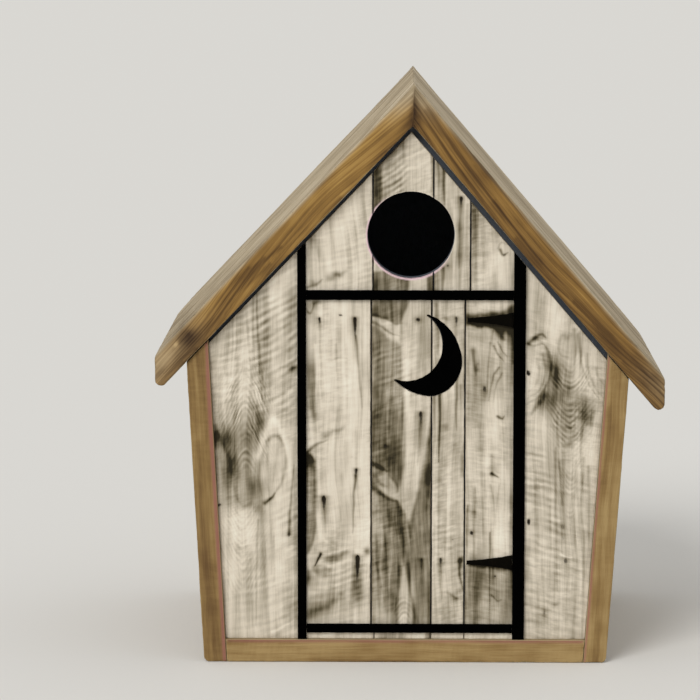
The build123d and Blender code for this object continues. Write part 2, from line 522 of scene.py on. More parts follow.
@dataclass(frozen=True)
class PlainFinish:
    """Finish of paint or iron: a body colour that grit shifts, worn a little along its edges."""

    name: str
    colour: Colour
    grit: Colour
    worn: Colour
    roughness: float = 0.7
    specular: float = 0.03
    grit_share: float = 0.5
    worn_share: float = 0.1
    grit_width: float = 2.0
    worn_reach: float = 0.5

    def material(self, effects: Effects) -> bpy.types.Material:
        """Build the material from Object coordinates.

        Args:
            effects: the shared node groups.

        Returns:
            The material.
        """
        made, wiring, shader = Surface.start(self.name)
        place = wiring.add("ShaderNodeTexCoord").outputs["Object"]
        millimetres = wiring.scaled(place, 1 / MM, 1 / MM, 1 / MM)
        fibre = wiring.place_group(effects.fibre, Grain=millimetres, Width=self.grit_width,
                                   Length=self.grit_width * 2, Seed=2.0).outputs
        edge = wiring.place_group(effects.edge, Grain=millimetres, Rim=wiring.field("rim"),
                                  Reach=self.worn_reach).outputs["Mask"]
        colour = wiring.blend(wiring.math("MULTIPLY", fibre["Coarse"], self.grit_share),
                              linear(self.colour), linear(self.grit))
        colour = wiring.blend(wiring.math("MULTIPLY", edge, self.worn_share), colour, linear(self.worn))
        surface = Surface(self.roughness, self.specular, bump=0.3, bump_mm=0.2, roughness_spread=0.1)
        surface.dress(wiring, shader, colour, fibre["Fine"], fibre["Fine"])
        return made


WEATHERED_RAMP: Ramp = (
    (0.00, (238, 231, 213)), (0.22, (222, 211, 192)), (0.45, (182, 172, 153)),
    (0.66, (138, 128, 107)), (0.85, (88, 79, 57)), (1.00, (42, 36, 19)),
)
BARN_BOARD = WoodFinish(
    "barn_board", face=WEATHERED_RAMP, side=WEATHERED_RAMP,
    blush=(226, 196, 200), coarse=0.12, fine=0.11, ring=0.13, band=0.12, saw=0.075, edge=0.08,
)
CEDAR = WoodFinish(
    "cedar",
    face=((0.0, (164, 138, 92)), (0.3, (138, 111, 68)), (0.6, (110, 84, 50)), (1.0, (70, 48, 27))),
    side=((0.0, (164, 146, 112)), (0.3, (142, 120, 84)), (0.6, (112, 90, 61)), (1.0, (72, 53, 36))),
    blush=(150, 100, 88), fibre_width=1.3, fibre_length=34.0, coarse=0.2, fine=0.16, ring=0.14, band=0.16,
    ring_across=0.06, ring_through=0.34, saw=0.05, edge=-0.18,
)
ROOF_CEDAR = WoodFinish(
    "roof_cedar",
    face=((0.0, (176, 140, 78)), (0.3, (142, 108, 56)), (0.6, (100, 73, 38)), (1.0, (54, 36, 19))),
    side=((0.0, (200, 185, 157)), (0.3, (171, 155, 127)), (0.6, (130, 114, 88)), (1.0, (74, 58, 42))),
    blush=(128, 84, 66), fibre_length=44.0, coarse=0.26, fine=0.13, ring=0.22, band=0.22,
    ring_across=0.08, ring_through=1.1, saw=0.0, edge=0.0,
)
BLACK_PAINT = PlainFinish("black_paint", (3, 3, 3), (1, 1, 1), (9, 9, 9), specular=0.0)
DARK_IRON = PlainFinish("dark_iron", (9, 8, 6), (19, 16, 11), (26, 22, 16), roughness=0.85, specular=0.01)
BACKING = PlainFinish("backing", (92, 98, 106), (70, 74, 80), (92, 98, 106), roughness=0.9)


# Meshes of boards

@dataclass
class Section:
    """Front-view outline of a CAD board in millimetres, with its depth."""

    SAME_PLACE = 1e-6
    STRAIGHT = 0.004

    loops: list[np.ndarray]
    front: float
    back: float

    @classmethod
    def of(cls, node: str) -> "Section":
        """Cut a CAD node half way through its depth.

        Args:
            node: name of the CAD node.

        Returns:
            The section, each loop with only its corner points.
        """
        low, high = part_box(node)
        cut_mesh = bmesh.new()
        cut_mesh.from_mesh(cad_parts[node].data)
        bmesh.ops.remove_doubles(cut_mesh, verts=cut_mesh.verts, dist=cls.SAME_PLACE)
        everything = cut_mesh.verts[:] + cut_mesh.edges[:] + cut_mesh.faces[:]
        cut = bmesh.ops.bisect_plane(cut_mesh, geom=everything, plane_co=(0, (low.y + high.y) / 2, 0),
                                     plane_no=(0, 1, 0))["geom_cut"]
        cut_mesh.verts.index_update()
        beside: dict[int, list[int]] = {}
        place: dict[int, tuple[float, float]] = {}
        for edge in (item for item in cut if isinstance(item, bmesh.types.BMEdge)):
            first, second = edge.verts
            beside.setdefault(first.index, []).append(second.index)
            beside.setdefault(second.index, []).append(first.index)
            for vertex in edge.verts:
                place[vertex.index] = (vertex.co.x / MM, vertex.co.z / MM)
        loops = cls._walk(beside, place)
        cut_mesh.free()
        return cls(loops, low.y / MM, high.y / MM)

    @staticmethod
    def _walk(beside: dict[int, list[int]], place: dict[int, tuple[float, float]]) -> list[np.ndarray]:
        """Follow the cut edges round into loops.

        Args:
            beside: the neighbours of each cut vertex.
            place: where each cut vertex is.

        Returns:
            The loops, without points on a straight run.
        """
        left = set(beside)
        loops = []
        while left:
            start = min(left)
            chain = [start]
            left.discard(start)
            while True:
                onward = [other for other in beside[chain[-1]] if other in left]
                if not onward:
                    break
                chain.append(onward[0])
                left.discard(onward[0])
            points = np.array([place[index] for index in chain])
            before, after = np.roll(points, 1, axis=0), np.roll(points, -1, axis=0)
            inward, outward = points - before, after - points
            turn = np.abs(inward[:, 0] * outward[:, 1] - inward[:, 1] * outward[:, 0])
            turn /= np.linalg.norm(inward, axis=1) * np.linalg.norm(outward, axis=1) + 1e-12
            loops.append(points[turn > Section.STRAIGHT])
        return loops

    def edges(self) -> tuple[np.ndarray, np.ndarray]:
        """Start and end points of every outline edge.

        Returns:
            The starts and the ends.
        """
        starts = np.concatenate(self.loops)
        ends = np.concatenate([np.roll(loop, -1, axis=0) for loop in self.loops])
        return starts, ends

    def inside(self, points: np.ndarray) -> np.ndarray:
        """Tell for each front-view point whether the board covers it."""
        return enclosed(points, *self.edges())

    def rim(self, points: np.ndarray) -> np.ndarray:
        """Distance of each front-view point from the outline.

        Args:
            points: front-view places.

        Returns:
            One distance for each point.
        """
        nearest = np.full(len(points), np.inf)
        for start, end in zip(*self.edges()):
            run = end - start
            share = np.clip(((points - start) @ run) / max(run @ run, 1e-12), 0, 1)
            gap = points - start - share[:, None] * run
            nearest = np.minimum(nearest, np.hypot(gap[:, 0], gap[:, 1]))
        return nearest

    def longest_run(self) -> np.ndarray:
        """Direction of the longest straight edge, pointing down or east.

        Returns:
            The direction, of length 1.
        """
        starts, ends = self.edges()
        runs = ends - starts
        run = runs[np.argmax(np.hypot(runs[:, 0], runs[:, 1]))]
        run = run / np.hypot(*run)
        return -run if run[1] > 0.01 or (abs(run[1]) <= 0.01 and run[0] < 0) else run

    def resampled(self, step: float) -> list[np.ndarray]:
        """Loops with extra points, so that none is further than a step from the next.

        Args:
            step: the longest gap.

        Returns:
            The loops.
        """
        loops = []
        for loop in self.loops:
            points = []
            for start, end in zip(loop, np.roll(loop, -1, axis=0)):
                count = max(1, round(float(np.linalg.norm(end - start)) / step))
                points.extend(start + (end - start) * number / count for number in range(count))
            loops.append(np.array(points))
        return loops


@dataclass(frozen=True)
class Lay:
    """How a board lies: where its own measures start, and which ways they run."""

    OUTER_BAND = 0.3

    origin: np.ndarray
    across: np.ndarray
    through: np.ndarray
    along: np.ndarray

    @classmethod
    def upright(cls) -> "Lay":
        """A front or rear board: across is east, along is the height above the ground."""
        return cls(np.zeros(3), np.array([1.0, 0, 0]), np.array([0, 1.0, 0]), np.array([0, 0, 1.0]))

    @classmethod
    def by_edge(cls, section: Section, outward: int) -> "Lay":
        """A board whose grain follows its longest edge, measured from the top corner of its outer side.

        Args:
            section: the board's section.
            outward: -1 where the outer side faces west, 1 where it faces east.

        Returns:
            The lay, with through running from the outer side inwards and across running to the back.
        """
        run = section.longest_run()
        inward = np.array([run[1], -run[0]]) if outward > 0 else np.array([-run[1], run[0]])
        corners = np.concatenate(section.loops)
        depth = corners @ inward
        outer = corners[depth < depth.min() + cls.OUTER_BAND]
        start = outer[np.argmin(outer @ run)]
        origin = start - run * ((start - corners) @ run).max()
        return cls(np.array([origin[0], 0, origin[1]]), np.array([0, 1.0, 0]),
                   np.array([inward[0], 0, inward[1]]), np.array([run[0], 0, run[1]]))

    def measures(self, points: np.ndarray) -> np.ndarray:
        """Across, through and along of each point, in millimetres."""
        return (points - self.origin) @ np.array([self.across, self.through, self.along]).T


class Side(Enum):
    """The side of a board that a mark lies on."""

    FACE = "front"
    OUTER = "outer side"


@dataclass
class Sheet:
    """The surface of one board while its marks are made: one value of each kind for every point."""

    OUTER_DEPTH = 2.0

    measures: np.ndarray
    face: np.ndarray
    front: np.ndarray
    seed: int
    edge_grain: bool
    tone: np.ndarray = field(init=False)
    cut: np.ndarray = field(init=False)
    blush: np.ndarray = field(init=False)
    grey: np.ndarray = field(init=False)
    shift: np.ndarray = field(init=False)
    streak: np.ndarray = field(init=False)
    wobble: tuple[np.ndarray, np.ndarray] = field(init=False)

    def __post_init__(self) -> None:
        """Start unmarked, and work out the wobble that keeps marks from being too regular."""
        for name in ("tone", "cut", "blush", "grey", "shift"):
            setattr(self, name, np.zeros(len(self.measures)))
        self.streak = 0.6 * self.noise((0.8, 0.8, 11.0), 11) + 0.4 * self.noise((1.6, 1.6, 3.0), 10)
        self.wobble = (0.4 * self.noise((1.9, 1.9, 5.0), 12), 0.9 * self.noise((2.2, 2.2, 4.0), 13))

    def noise(self, size: Sequence[float], layer: int) -> np.ndarray:
        """Noise over the board's own measures. The layer's number keeps each use's pattern apart."""
        return smooth_noise(self.measures, size, self.seed * 31 + layer)

    def seen(self, side: Side) -> tuple[np.ndarray, np.ndarray, np.ndarray]:
        """Two measures over one side of the board, and how far each point belongs to it.

        Args:
            side: the side.

        Returns:
            Across, along and the side's mask.
        """
        across, through, along = self.measures.T
        if side is Side.OUTER:
            return across, along, (1 - self.face) * (through < self.OUTER_DEPTH)
        return (through if self.edge_grain else across), along, np.where(self.front, 1.0, 0.0)


class Mark:
    """A mark of the weather or the tree on a board."""

    def paint(self, sheet: Sheet) -> None:
        """Add the mark to the sheet.

        Args:
            sheet: the board's surface.
        """
        raise NotImplementedError


@dataclass(frozen=True)
class OvalMark(Mark):
    """A mark with a middle, a size in the board's millimetres, and a lean that moves its foot eastwards."""

    across: float
    along: float
    width: float
    height: float
    strength: float
    lean: float = 0.0
    side: Side = Side.FACE

    def placed(self, sheet: Sheet, loose: float = 1.0) -> tuple[np.ndarray, np.ndarray, np.ndarray]:
        """Places of all points, measured from the mark and along its lean.

        Args:
            sheet: the board's surface.
            loose: how much the places wobble.

        Returns:
            Across, along and the side's mask.
        """
        across, along, mask = sheet.seen(self.side)
        turn = math.radians(self.lean)
        east = across + loose * sheet.wobble[0] - self.across
        up = along + loose * sheet.wobble[1] - self.along
        return east * math.cos(turn) + up * math.sin(turn), up * math.cos(turn) - east * math.sin(turn), mask

    def reach(self, east: np.ndarray, up: np.ndarray) -> np.ndarray:
        """Distance of each place from the middle, which is 1 on the oval's outline."""
        return np.hypot(east / (self.width / 2), up / (self.height / 2))

    def window(self, east: np.ndarray, up: np.ndarray, power: int) -> np.ndarray:
        """Soft frame round the mark. The power says how squarely it ends to the east and west."""
        aside = np.exp(-(np.abs(east) / (self.width / 2)) ** power)
        return aside * np.exp(-(np.abs(up) / (self.height / 2)) ** 4)


class Shade(OvalMark):
    """A soft dark stain, in places painted shade; a pale patch where the strength is below 0, in places
    painted light.
    """

    FALL = 1.1
    STREAKED = 0.34

    def paint(self, sheet: Sheet) -> None:
        """Darken the oval, streaked along the grain.

        Args:
            sheet: the board's surface.
        """
        east, up, mask = self.placed(sheet)
        fade = np.exp(-self.FALL * self.reach(east, up) ** 2)
        sheet.tone += self.strength * fade * (1 + self.STREAKED * sheet.streak) * mask


class Greyed(OvalMark):
    """A patch where the weather has turned the golden wood grey."""

    def paint(self, sheet: Sheet) -> None:
        """Take the face colour away inside the oval.

        Args:
            sheet: the board's surface.
        """
        east, up, mask = self.placed(sheet)
        fade = np.exp(-Shade.FALL * self.reach(east, up) ** 2)
        sheet.grey = np.maximum(sheet.grey, self.strength * fade * mask)


class Spot(OvalMark):
    """A small dark hole or nail mark."""

    def paint(self, sheet: Sheet) -> None:
        """Cut the oval and stain the wood round it.

        Args:
            sheet: the board's surface.
        """
        east, up, mask = self.placed(sheet, 0.3)
        reach = self.reach(east, up)
        sheet.cut = np.maximum(sheet.cut, self.strength * eased_step(-reach, -1.5, -0.4) * mask)
        sheet.tone += 0.25 * self.strength * np.exp(-0.3 * reach ** 2) * mask


class Check(OvalMark):
    """A drying crack: place is its blunt end, height its length, and it fades downwards into a stain."""

    def paint(self, sheet: Sheet) -> None:
        """Cut the taper, with a stain along and below it.

        Args:
            sheet: the board's surface.
        """
        east, up, mask = self.placed(sheet, 0.0)
        down = -up
        east = east + 0.25 * sheet.noise((50.0, 50.0, 6.0), 14)
        share = np.clip(down / self.height, 0, 1)
        half = 0.5 * self.width * np.sqrt(np.clip(down / (0.6 * self.width), 0, 1)) * (1 - share ** 1.3)
        within = (down > -0.3) & (down < self.height)
        open_part = np.clip(0.5 + (half - np.abs(east)) / 0.9, 0, 1) * (half > 0.02) * (1 - 0.5 * share)
        sheet.cut = np.maximum(sheet.cut, self.strength * open_part * within * mask)
        tail = np.clip(down / (1.9 * self.height), 0, 1)
        stain = np.exp(-(east / (self.width * 1.1)) ** 2) * eased_step(down, -1.0, 0.6) * (1 - tail) ** 1.5
        sheet.tone += 0.42 * self.strength * stain * mask


class Knot(OvalMark):
    """A knot: a dark core, rings round it, and grain that runs round it."""

    def paint(self, sheet: Sheet) -> None:
        """Draw the rings and bend the grain.

        Args:
            sheet: the board's surface.
        """
        east, up, mask = self.placed(sheet)
        reach = self.reach(east, up)
        rings = 0.5 + 0.5 * np.cos(2 * math.pi * reach * 2.5)
        within = eased_step(-reach, -1.15, -0.85)
        sheet.tone += self.strength * (0.3 * rings * within + 0.8 * np.exp(-((reach - 1) / 0.14) ** 2)) * mask
        sheet.tone += 0.8 * self.strength * np.exp(-(reach / 0.32) ** 2) * mask
        sheet.shift -= 1.4 * east / np.maximum(reach, 0.9) ** 2 * mask


class Arches(OvalMark):
    """Nested arches of the growth rings. The lean gives their bow: above 0 they open downwards."""

    SPACING = 3.1
    TIGHTNESS = 2.2

    def paint(self, sheet: Sheet) -> None:
        """Draw the arches inside a soft window.

        Args:
            sheet: the board's surface.
        """
        across, along, mask = sheet.seen(self.side)
        east = across + sheet.wobble[0] * 1.3 - self.across
        up = along + 0.5 * sheet.wobble[1] - self.along
        bow = self.lean * (np.sqrt(east ** 2 + self.TIGHTNESS ** 2) - self.TIGHTNESS)
        turn = (up + bow) / self.SPACING + 0.25 * sheet.noise((6.0, 6.0, 8.0), 17)
        spread = np.column_stack([turn, 0.1 * across, 0.03 * along])
        wave = 0.4 * np.cos(2 * math.pi * turn)
        wave += 0.6 * smooth_noise(spread, (0.42, 1.0, 1.0), sheet.seed + 19)
        fade = np.clip(0.7 + 0.8 * sheet.noise((3.4, 3.4, 6.0), 18), 0, 1.3)
        sheet.tone += self.strength * wave * self.window(east, up, 3) * fade * mask


class FineArches(Arches):
    """Nested arches that stand closer together."""

    SPACING = 2.5
    TIGHTNESS = 2.6


class SawPatch(OvalMark):
    """A patch of slanting saw marks. The lean is their slope in degrees, up towards the east."""

    SPACING = 3.6

    def paint(self, sheet: Sheet) -> None:
        """Draw the slanting lines inside a soft window.

        Args:
            sheet: the board's surface.
        """
        across, along, mask = sheet.seen(self.side)
        east, up = across - self.across, along - self.along
        line = up - east * math.tan(math.radians(self.lean)) - 0.006 * east ** 2 * math.copysign(1, self.lean)
        line += 0.8 * sheet.noise((9.0, 9.0, 9.0), 15) + 0.3 * sheet.noise((2.0, 2.0, 2.5), 24)
        spread = np.column_stack([line / self.SPACING, 0.08 * across, np.zeros(len(across))])
        wave = 0.5 * np.cos(2 * math.pi * line / self.SPACING)
        wave += 0.7 * smooth_noise(spread, (0.45, 1, 1), sheet.seed + 6)
        broken = np.clip(0.7 + 0.8 * sheet.noise((4.0, 4.0, 5.0), 16), 0, 1.4)
        sheet.tone += self.strength * wave * self.window(east, up, 4) * broken * mask


class TightSawPatch(SawPatch):
    """A patch of saw marks that stand closer together."""

    SPACING = 2.9


@dataclass(frozen=True)
class DrawnMark(Mark):
    """A mark drawn by hand along a path of places on the board, in its millimetres."""

    SPANS = 6
    LOOSE = 0.6

    path: tuple[tuple[float, float], ...]
    width: float
    strength: float
    cut: float = 0.0
    side: Side = Side.FACE

    def curve(self, closed: bool) -> np.ndarray:
        """Places along the path, rounded at its corners.

        Args:
            closed: whether the path returns to its start.

        Returns:
            The places in order.
        """
        corners = np.array(self.path, float)
        if closed:
            padded = np.concatenate([corners[-1:], corners, corners[:2]])
        else:
            ahead, behind = 2 * corners[:1] - corners[1:2], 2 * corners[-1:] - corners[-2:-1]
            padded = np.concatenate([ahead, corners, behind])
        share = np.linspace(0, 1, self.SPANS, endpoint=False)[:, None]
        spans = []
        for before, start, end, after in zip(padded, padded[1:], padded[2:], padded[3:]):
            squared = (2 * before - 5 * start + 4 * end - after) * share ** 2
            cubed = (3 * start - before - 3 * end + after) * share ** 3
            spans.append(0.5 * (2 * start + (end - before) * share + squared + cubed))
        return np.concatenate(spans + [corners[:1] if closed else corners[-1:]])

    def near(self, sheet: Sheet, closed: bool) -> tuple[np.ndarray, ...]:
        """Points close to the path, with their distance from it and share of its length.

        Args:
            sheet: the board's surface.
            closed: whether the path returns to its start.

        Returns:
            The chosen points' indices, places, distances and shares, then the curve.
        """
        across, along, mask = sheet.seen(self.side)
        east, up = self.LOOSE * sheet.wobble[0], self.LOOSE * sheet.wobble[1]
        places = np.column_stack([across + east, along + up])
        curve = self.curve(closed)
        low, high = curve.min(axis=0) - 2 * self.width, curve.max(axis=0) + 2 * self.width
        chosen = np.nonzero((mask > 0) & np.all((places > low) & (places < high), axis=1))[0]
        places = places[chosen]
        gap, share = np.full(len(places), np.inf), np.zeros(len(places))
        for number, (start, end) in enumerate(zip(curve, curve[1:])):
            run = end - start
            part = np.clip(((places - start) @ run) / max(run @ run, 1e-9), 0, 1)
            distance = np.hypot(*(places - start - part[:, None] * run).T)
            closer = distance < gap
            gap[closer] = distance[closer]
            share[closer] = (number + part[closer]) / (len(curve) - 1)
        return chosen, places, gap, share, curve


class Stroke(DrawnMark):
    """A soft line that thins towards its far end, dark, or pale where the strength is below 0."""

    def paint(self, sheet: Sheet) -> None:
        """Darken the line, and cut it open where it is a crack.

        Args:
            sheet: the board's surface.
        """
        chosen, _, gap, share, _ = self.near(sheet, closed=False)
        half = 0.5 * self.width * (1 - 0.6 * share ** 2)
        soft = np.exp(-(gap / half) ** 2) * (1 - 0.5 * share ** 2)
        sheet.tone[chosen] += self.strength * soft * (1 + 0.25 * sheet.streak[chosen])
        if self.cut:
            opened = self.cut * np.clip(0.5 + (0.6 * half - gap) / 0.8, 0, 1)
            sheet.cut[chosen] = np.maximum(sheet.cut[chosen], opened)


class Area(DrawnMark):
    """A dark or pale patch inside a closed path. The width is that of its soft border."""

    def paint(self, sheet: Sheet) -> None:
        """Darken the patch, streaked along the grain.

        Args:
            sheet: the board's surface.
        """
        chosen, places, gap, _, curve = self.near(sheet, closed=True)
        depth = np.where(enclosed(places, curve[:-1], curve[1:]), gap, -gap)
        cover = eased_step(depth, -0.5 * self.width, 0.5 * self.width)
        sheet.tone[chosen] += self.strength * cover * (1 + Shade.STREAKED * sheet.streak[chosen])


def on_outer_side(*marks: Mark) -> tuple[Mark, ...]:
    """The same marks, moved from a board's front to its outer side."""
    return tuple(replace(mark, side=Side.OUTER) for mark in marks)


@dataclass
class Relief:
    """Geometry Nodes tree that wears a board down along its grain, checks and edges."""

    tree: bpy.types.NodeTree = field(init=False)

    def __post_init__(self) -> None:
        """Build the tree, with depths and widths in millimetres."""
        self.tree = bpy.data.node_groups.new("worn_relief", "GeometryNodeTree")
        wiring = Wiring(self.tree)
        wiring.socket("Geometry", "NodeSocketGeometry")
        for name in ("Groove Depth", "Crack Depth", "Wear Depth", "Fibre Width", "Seed"):
            wiring.socket(name, "NodeSocketFloat")
        wiring.socket("Material", "NodeSocketMaterial")
        wiring.socket("Geometry", "NodeSocketGeometry", output=True)
        given = wiring.add("NodeGroupInput").outputs
        sink = self._depth(wiring, given)
        away = wiring.add("ShaderNodeVectorMath", operation="SCALE")
        wiring.feed(away.inputs[0], wiring.add("GeometryNodeInputNormal").outputs[0])
        wiring.feed(away.inputs["Scale"], wiring.math("MULTIPLY", sink, -MM))
        moved = wiring.add("GeometryNodeSetPosition")
        wiring.feed(moved.inputs["Geometry"], given["Geometry"])
        wiring.feed(moved.inputs["Offset"], away.outputs[0])
        smooth = wiring.add("GeometryNodeSetShadeSmooth")
        wiring.feed(smooth.inputs["Geometry"], moved.outputs[0])
        real = wiring.add("GeometryNodeRealizeInstances")
        wiring.feed(real.inputs[0], smooth.outputs[0])
        dressed = wiring.add("GeometryNodeSetMaterial")
        wiring.feed(dressed.inputs["Geometry"], real.outputs[0])
        wiring.feed(dressed.inputs["Material"], given["Material"])
        wiring.feed(wiring.add("NodeGroupOutput").inputs[0], dressed.outputs[0])

    @staticmethod
    def _depth(wiring: Wiring, given: bpy.types.NodeOutputs) -> bpy.types.NodeSocket:
        """How far each point sinks, in millimetres.

        Args:
            wiring: the tree's wiring.
            given: the tree's inputs.

        Returns:
            The depth.
        """
        carried = {}
        for name, kind in (("cut", "FLOAT"), ("rim", "FLOAT"), ("tone", "FLOAT"), ("give", "FLOAT"),
                           ("grain", "FLOAT_VECTOR")):
            node = wiring.add("GeometryNodeInputNamedAttribute", data_type=kind)
            node.inputs["Name"].default_value = name
            carried[name] = node.outputs[0]
        across = wiring.math("DIVIDE", 1.0, given["Fibre Width"])
        along = wiring.math("DIVIDE", across, 16.0)
        fibre = wiring.noise(wiring.scaled(carried["grain"], across, across, along), 2.0, 0.6, given["Seed"])
        groove = wiring.math("MULTIPLY", wiring.ranged(fibre, 0.36, 0.68), given["Groove Depth"])
        darker = wiring.math("MULTIPLY", wiring.ranged(carried["tone"], 0.1, 0.9), given["Groove Depth"])
        opened = wiring.ranged(carried["cut"], 0.3, 0.95, shape="SMOOTHSTEP")
        crack = wiring.math("MULTIPLY", opened, given["Crack Depth"])
        dents = wiring.noise(wiring.scaled(carried["grain"], 0.45, 0.45, 0.14), 2.0, 0.6, given["Seed"])
        near = wiring.ranged(carried["rim"], 0.0, 1.6, 1.0, 0.0, "SMOOTHSTEP")
        worn = wiring.math("MULTIPLY", near, wiring.ranged(dents, 0.38, 0.7))
        wear = wiring.math("MULTIPLY", worn, given["Wear Depth"])
        sink = wiring.math("ADD", wiring.math("ADD", groove, darker), wiring.math("ADD", crack, wear))
        return wiring.math("MULTIPLY", sink, carried["give"])


def run_tree(piece: bpy.types.Object, tree: bpy.types.NodeTree, **values: object) -> None:
    """Run a Geometry Nodes tree on a piece and leave a plain mesh.

    Args:
        piece: the object that the tree works on.
        tree: the tree.
        values: the tree's inputs by name, with _ for a space.
    """
    modifier = piece.modifiers.new("tree", "NODES")
    modifier.node_group = tree
    for item in tree.interface.items_tree:
        key = item.name.replace(" ", "_")
        if item.item_type == "SOCKET" and item.in_out == "INPUT" and key in values:
            modifier[item.identifier] = values[key]
    graph = bpy.context.evaluated_depsgraph_get()
    made = bpy.data.meshes.new_from_object(piece.evaluated_get(graph), preserve_all_data_layers=True,
                                           depsgraph=graph)
    piece.modifiers.clear()
    spent, piece.data = piece.data, made
    bpy.data.meshes.remove(spent)


class Grip(Enum):
    """How finely a board's mesh is divided, in millimetres: its outline, its ends and its depth."""

    FACE = (0.5, 0.5, 2.0)
    REAR = (0.8, 0.85, 2.0)
    BLOCK = (1.0, 0.75, 1.4)
    HIDDEN = (1.6, 1.2, 3.0)
    TRIM = (0.6, 0.6, 0.8)


@dataclass
class Shell:
    """Closed mesh of a board: finely divided caps with eased rims, joined by bands."""

    INSET_SHARES = (0.1, 0.35, 0.7, 1.05)
    SAME_POINT = 1e-7
    ROW_SHARE = 0.87

    section: Section
    grip: Grip
    ease: float
    both_ends: bool
    plan_round: float = 0.0
    outward: int = 0
    mitre: float | None = None
    points: np.ndarray = field(init=False)
    faces: list[tuple[int, ...]] = field(init=False)
    rim: np.ndarray = field(init=False)
    face: np.ndarray = field(init=False)

    def __post_init__(self) -> None:
        """Make the points and faces."""
        ring_step, cap_step, side_step = self.grip.value
        ring = self.section.resampled(ring_step)
        flat, triangles, outline = self._cap(ring, cap_step, fine=True)
        rim = self.section.rim(flat)
        rim[outline] = 0.0
        sink = self._sink(flat, rim)
        front = np.column_stack([flat[:, 0], self.section.front + sink, flat[:, 1]])
        if self.both_ends:
            rear_flat, rear_triangles, rear_outline = flat, triangles, outline
            rear = np.column_stack([flat[:, 0], self.section.back - sink, flat[:, 1]])
            rear_rim = rim
        else:
            rear_flat, rear_triangles, rear_outline = self._cap(ring, cap_step, fine=False)
            depths = np.full(len(rear_flat), self.section.back)
            rear = np.column_stack([rear_flat[:, 0], depths, rear_flat[:, 1]])
            rear_rim = np.zeros(len(rear_flat))
        start, end = self.section.front + self.ease, rear[rear_outline[0], 1]
        count = max(1, round((end - start) / side_step))
        rings = [outline]
        blocks, rims, shows = [front, rear], [rim, rear_rim], [self._show(rim), self._show(rear_rim)]
        used = len(front) + len(rear)
        bare = flat[outline]
        for number in range(1, count):
            depth = start + (end - start) * number / count
            blocks.append(np.column_stack([bare[:, 0], np.full(len(bare), depth), bare[:, 1]]))
            rims.append(np.full(len(bare), min(depth - self.section.front, self.section.back - depth)))
            shows.append(np.zeros(len(bare)))
            rings.append(np.arange(used, used + len(bare)))
            used += len(bare)
        rings.append(rear_outline + len(front))
        self.points, self.rim, self.face = np.concatenate(blocks), np.concatenate(rims), np.concatenate(shows)
        self.faces = triangles.tolist() + (rear_triangles + len(front)).tolist()
        self.faces += self._bands(rings, [len(loop) for loop in ring])
        if self.plan_round:
            self._round_plan()
        if self.grip is Grip.REAR:
            self.points[:, 1] = self.section.front + self.section.back - self.points[:, 1]

    def _sink(self, flat: np.ndarray, rim: np.ndarray) -> np.ndarray:
        """How far each cap point lies below the flat end, round at the rim but not at the mitre.

        Args:
            flat: front-view places of the points.
            rim: their distances from the outline.

        Returns:
            One depth for each point.
        """
        inwards = np.clip(self.ease - rim, 0, None)
        sink = self.ease - np.sqrt(np.clip(self.ease ** 2 - inwards ** 2, 0, None))
        if self.mitre is not None:
            sink *= eased_step(np.abs(flat[:, 0] - self.mitre), 0.4, 3.0)
        return sink

    def _round_plan(self) -> None:
        """Draw the points in from the rear outer corner, which the board has rounded in plan."""
        outwards = self.outward * self.points[:, 0]
        inset = np.clip(self.plan_round - outwards.max() + outwards, 0, self.plan_round)
        front, back = self.section.front, self.section.back
        limit = back - self.plan_round + np.sqrt(self.plan_round ** 2 - inset ** 2)
        self.points[:, 1] = front + (self.points[:, 1] - front) * (limit - front) / (back - front)

    def _show(self, rim: np.ndarray) -> np.ndarray:
        """Share of each cap point in the show face: 0 on the outline, 1 past the eased rim."""
        return eased_step(rim, 0.05 * self.ease, 0.6 * self.ease)

    def _cap(self, ring: list[np.ndarray], step: float,
             fine: bool) -> tuple[np.ndarray, np.ndarray, np.ndarray]:
        """Divide one end of the board into triangles.

        Args:
            ring: the resampled outline.
            step: spacing of the inner points.
            fine: whether there are inner points at all.

        Returns:
            Front-view points, triangles, and the indices of the outline's points.
        """
        outline = np.concatenate(ring)
        edges, first = [], 0
        for loop in ring:
            edges += [(first + n, first + (n + 1) % len(loop)) for n in range(len(loop))]
            first += len(loop)
        layers = [outline]
        if fine:
            layers += self._insets(ring)
            layers.append(self._grid(step))
        stacked = np.concatenate(layers)
        found = delaunay_2d_cdt([Vector(p) for p in stacked], edges, [], 0, self.SAME_POINT)
        flat = np.array([tuple(p) for p in found[0]])
        triangles = np.array(found[2])
        middle = flat[triangles].mean(axis=1)
        triangles = triangles[self.section.inside(middle)]
        back_to = np.zeros(len(stacked), int)
        for index, sources in enumerate(found[3]):
            back_to[list(sources)] = index
        return flat, triangles, back_to[:len(outline)]

    def _insets(self, ring: list[np.ndarray]) -> list[np.ndarray]:
        """Rows of points just inside the outline, which carry the eased rim.

        Args:
            ring: the resampled outline.

        Returns:
            The rows.
        """
        rows = []
        for share in self.INSET_SHARES:
            gap = share * self.ease
            for loop in ring:
                run = np.roll(loop, -1, axis=0) - np.roll(loop, 1, axis=0)
                run /= np.linalg.norm(run, axis=1)[:, None] + 1e-12
                aside = np.column_stack([-run[:, 1], run[:, 0]]) * gap
                for way in (1, -1):
                    moved = loop + way * aside
                    rows.append(moved[self.section.inside(moved) & (self.section.rim(moved) > 0.9 * gap)])
        return rows

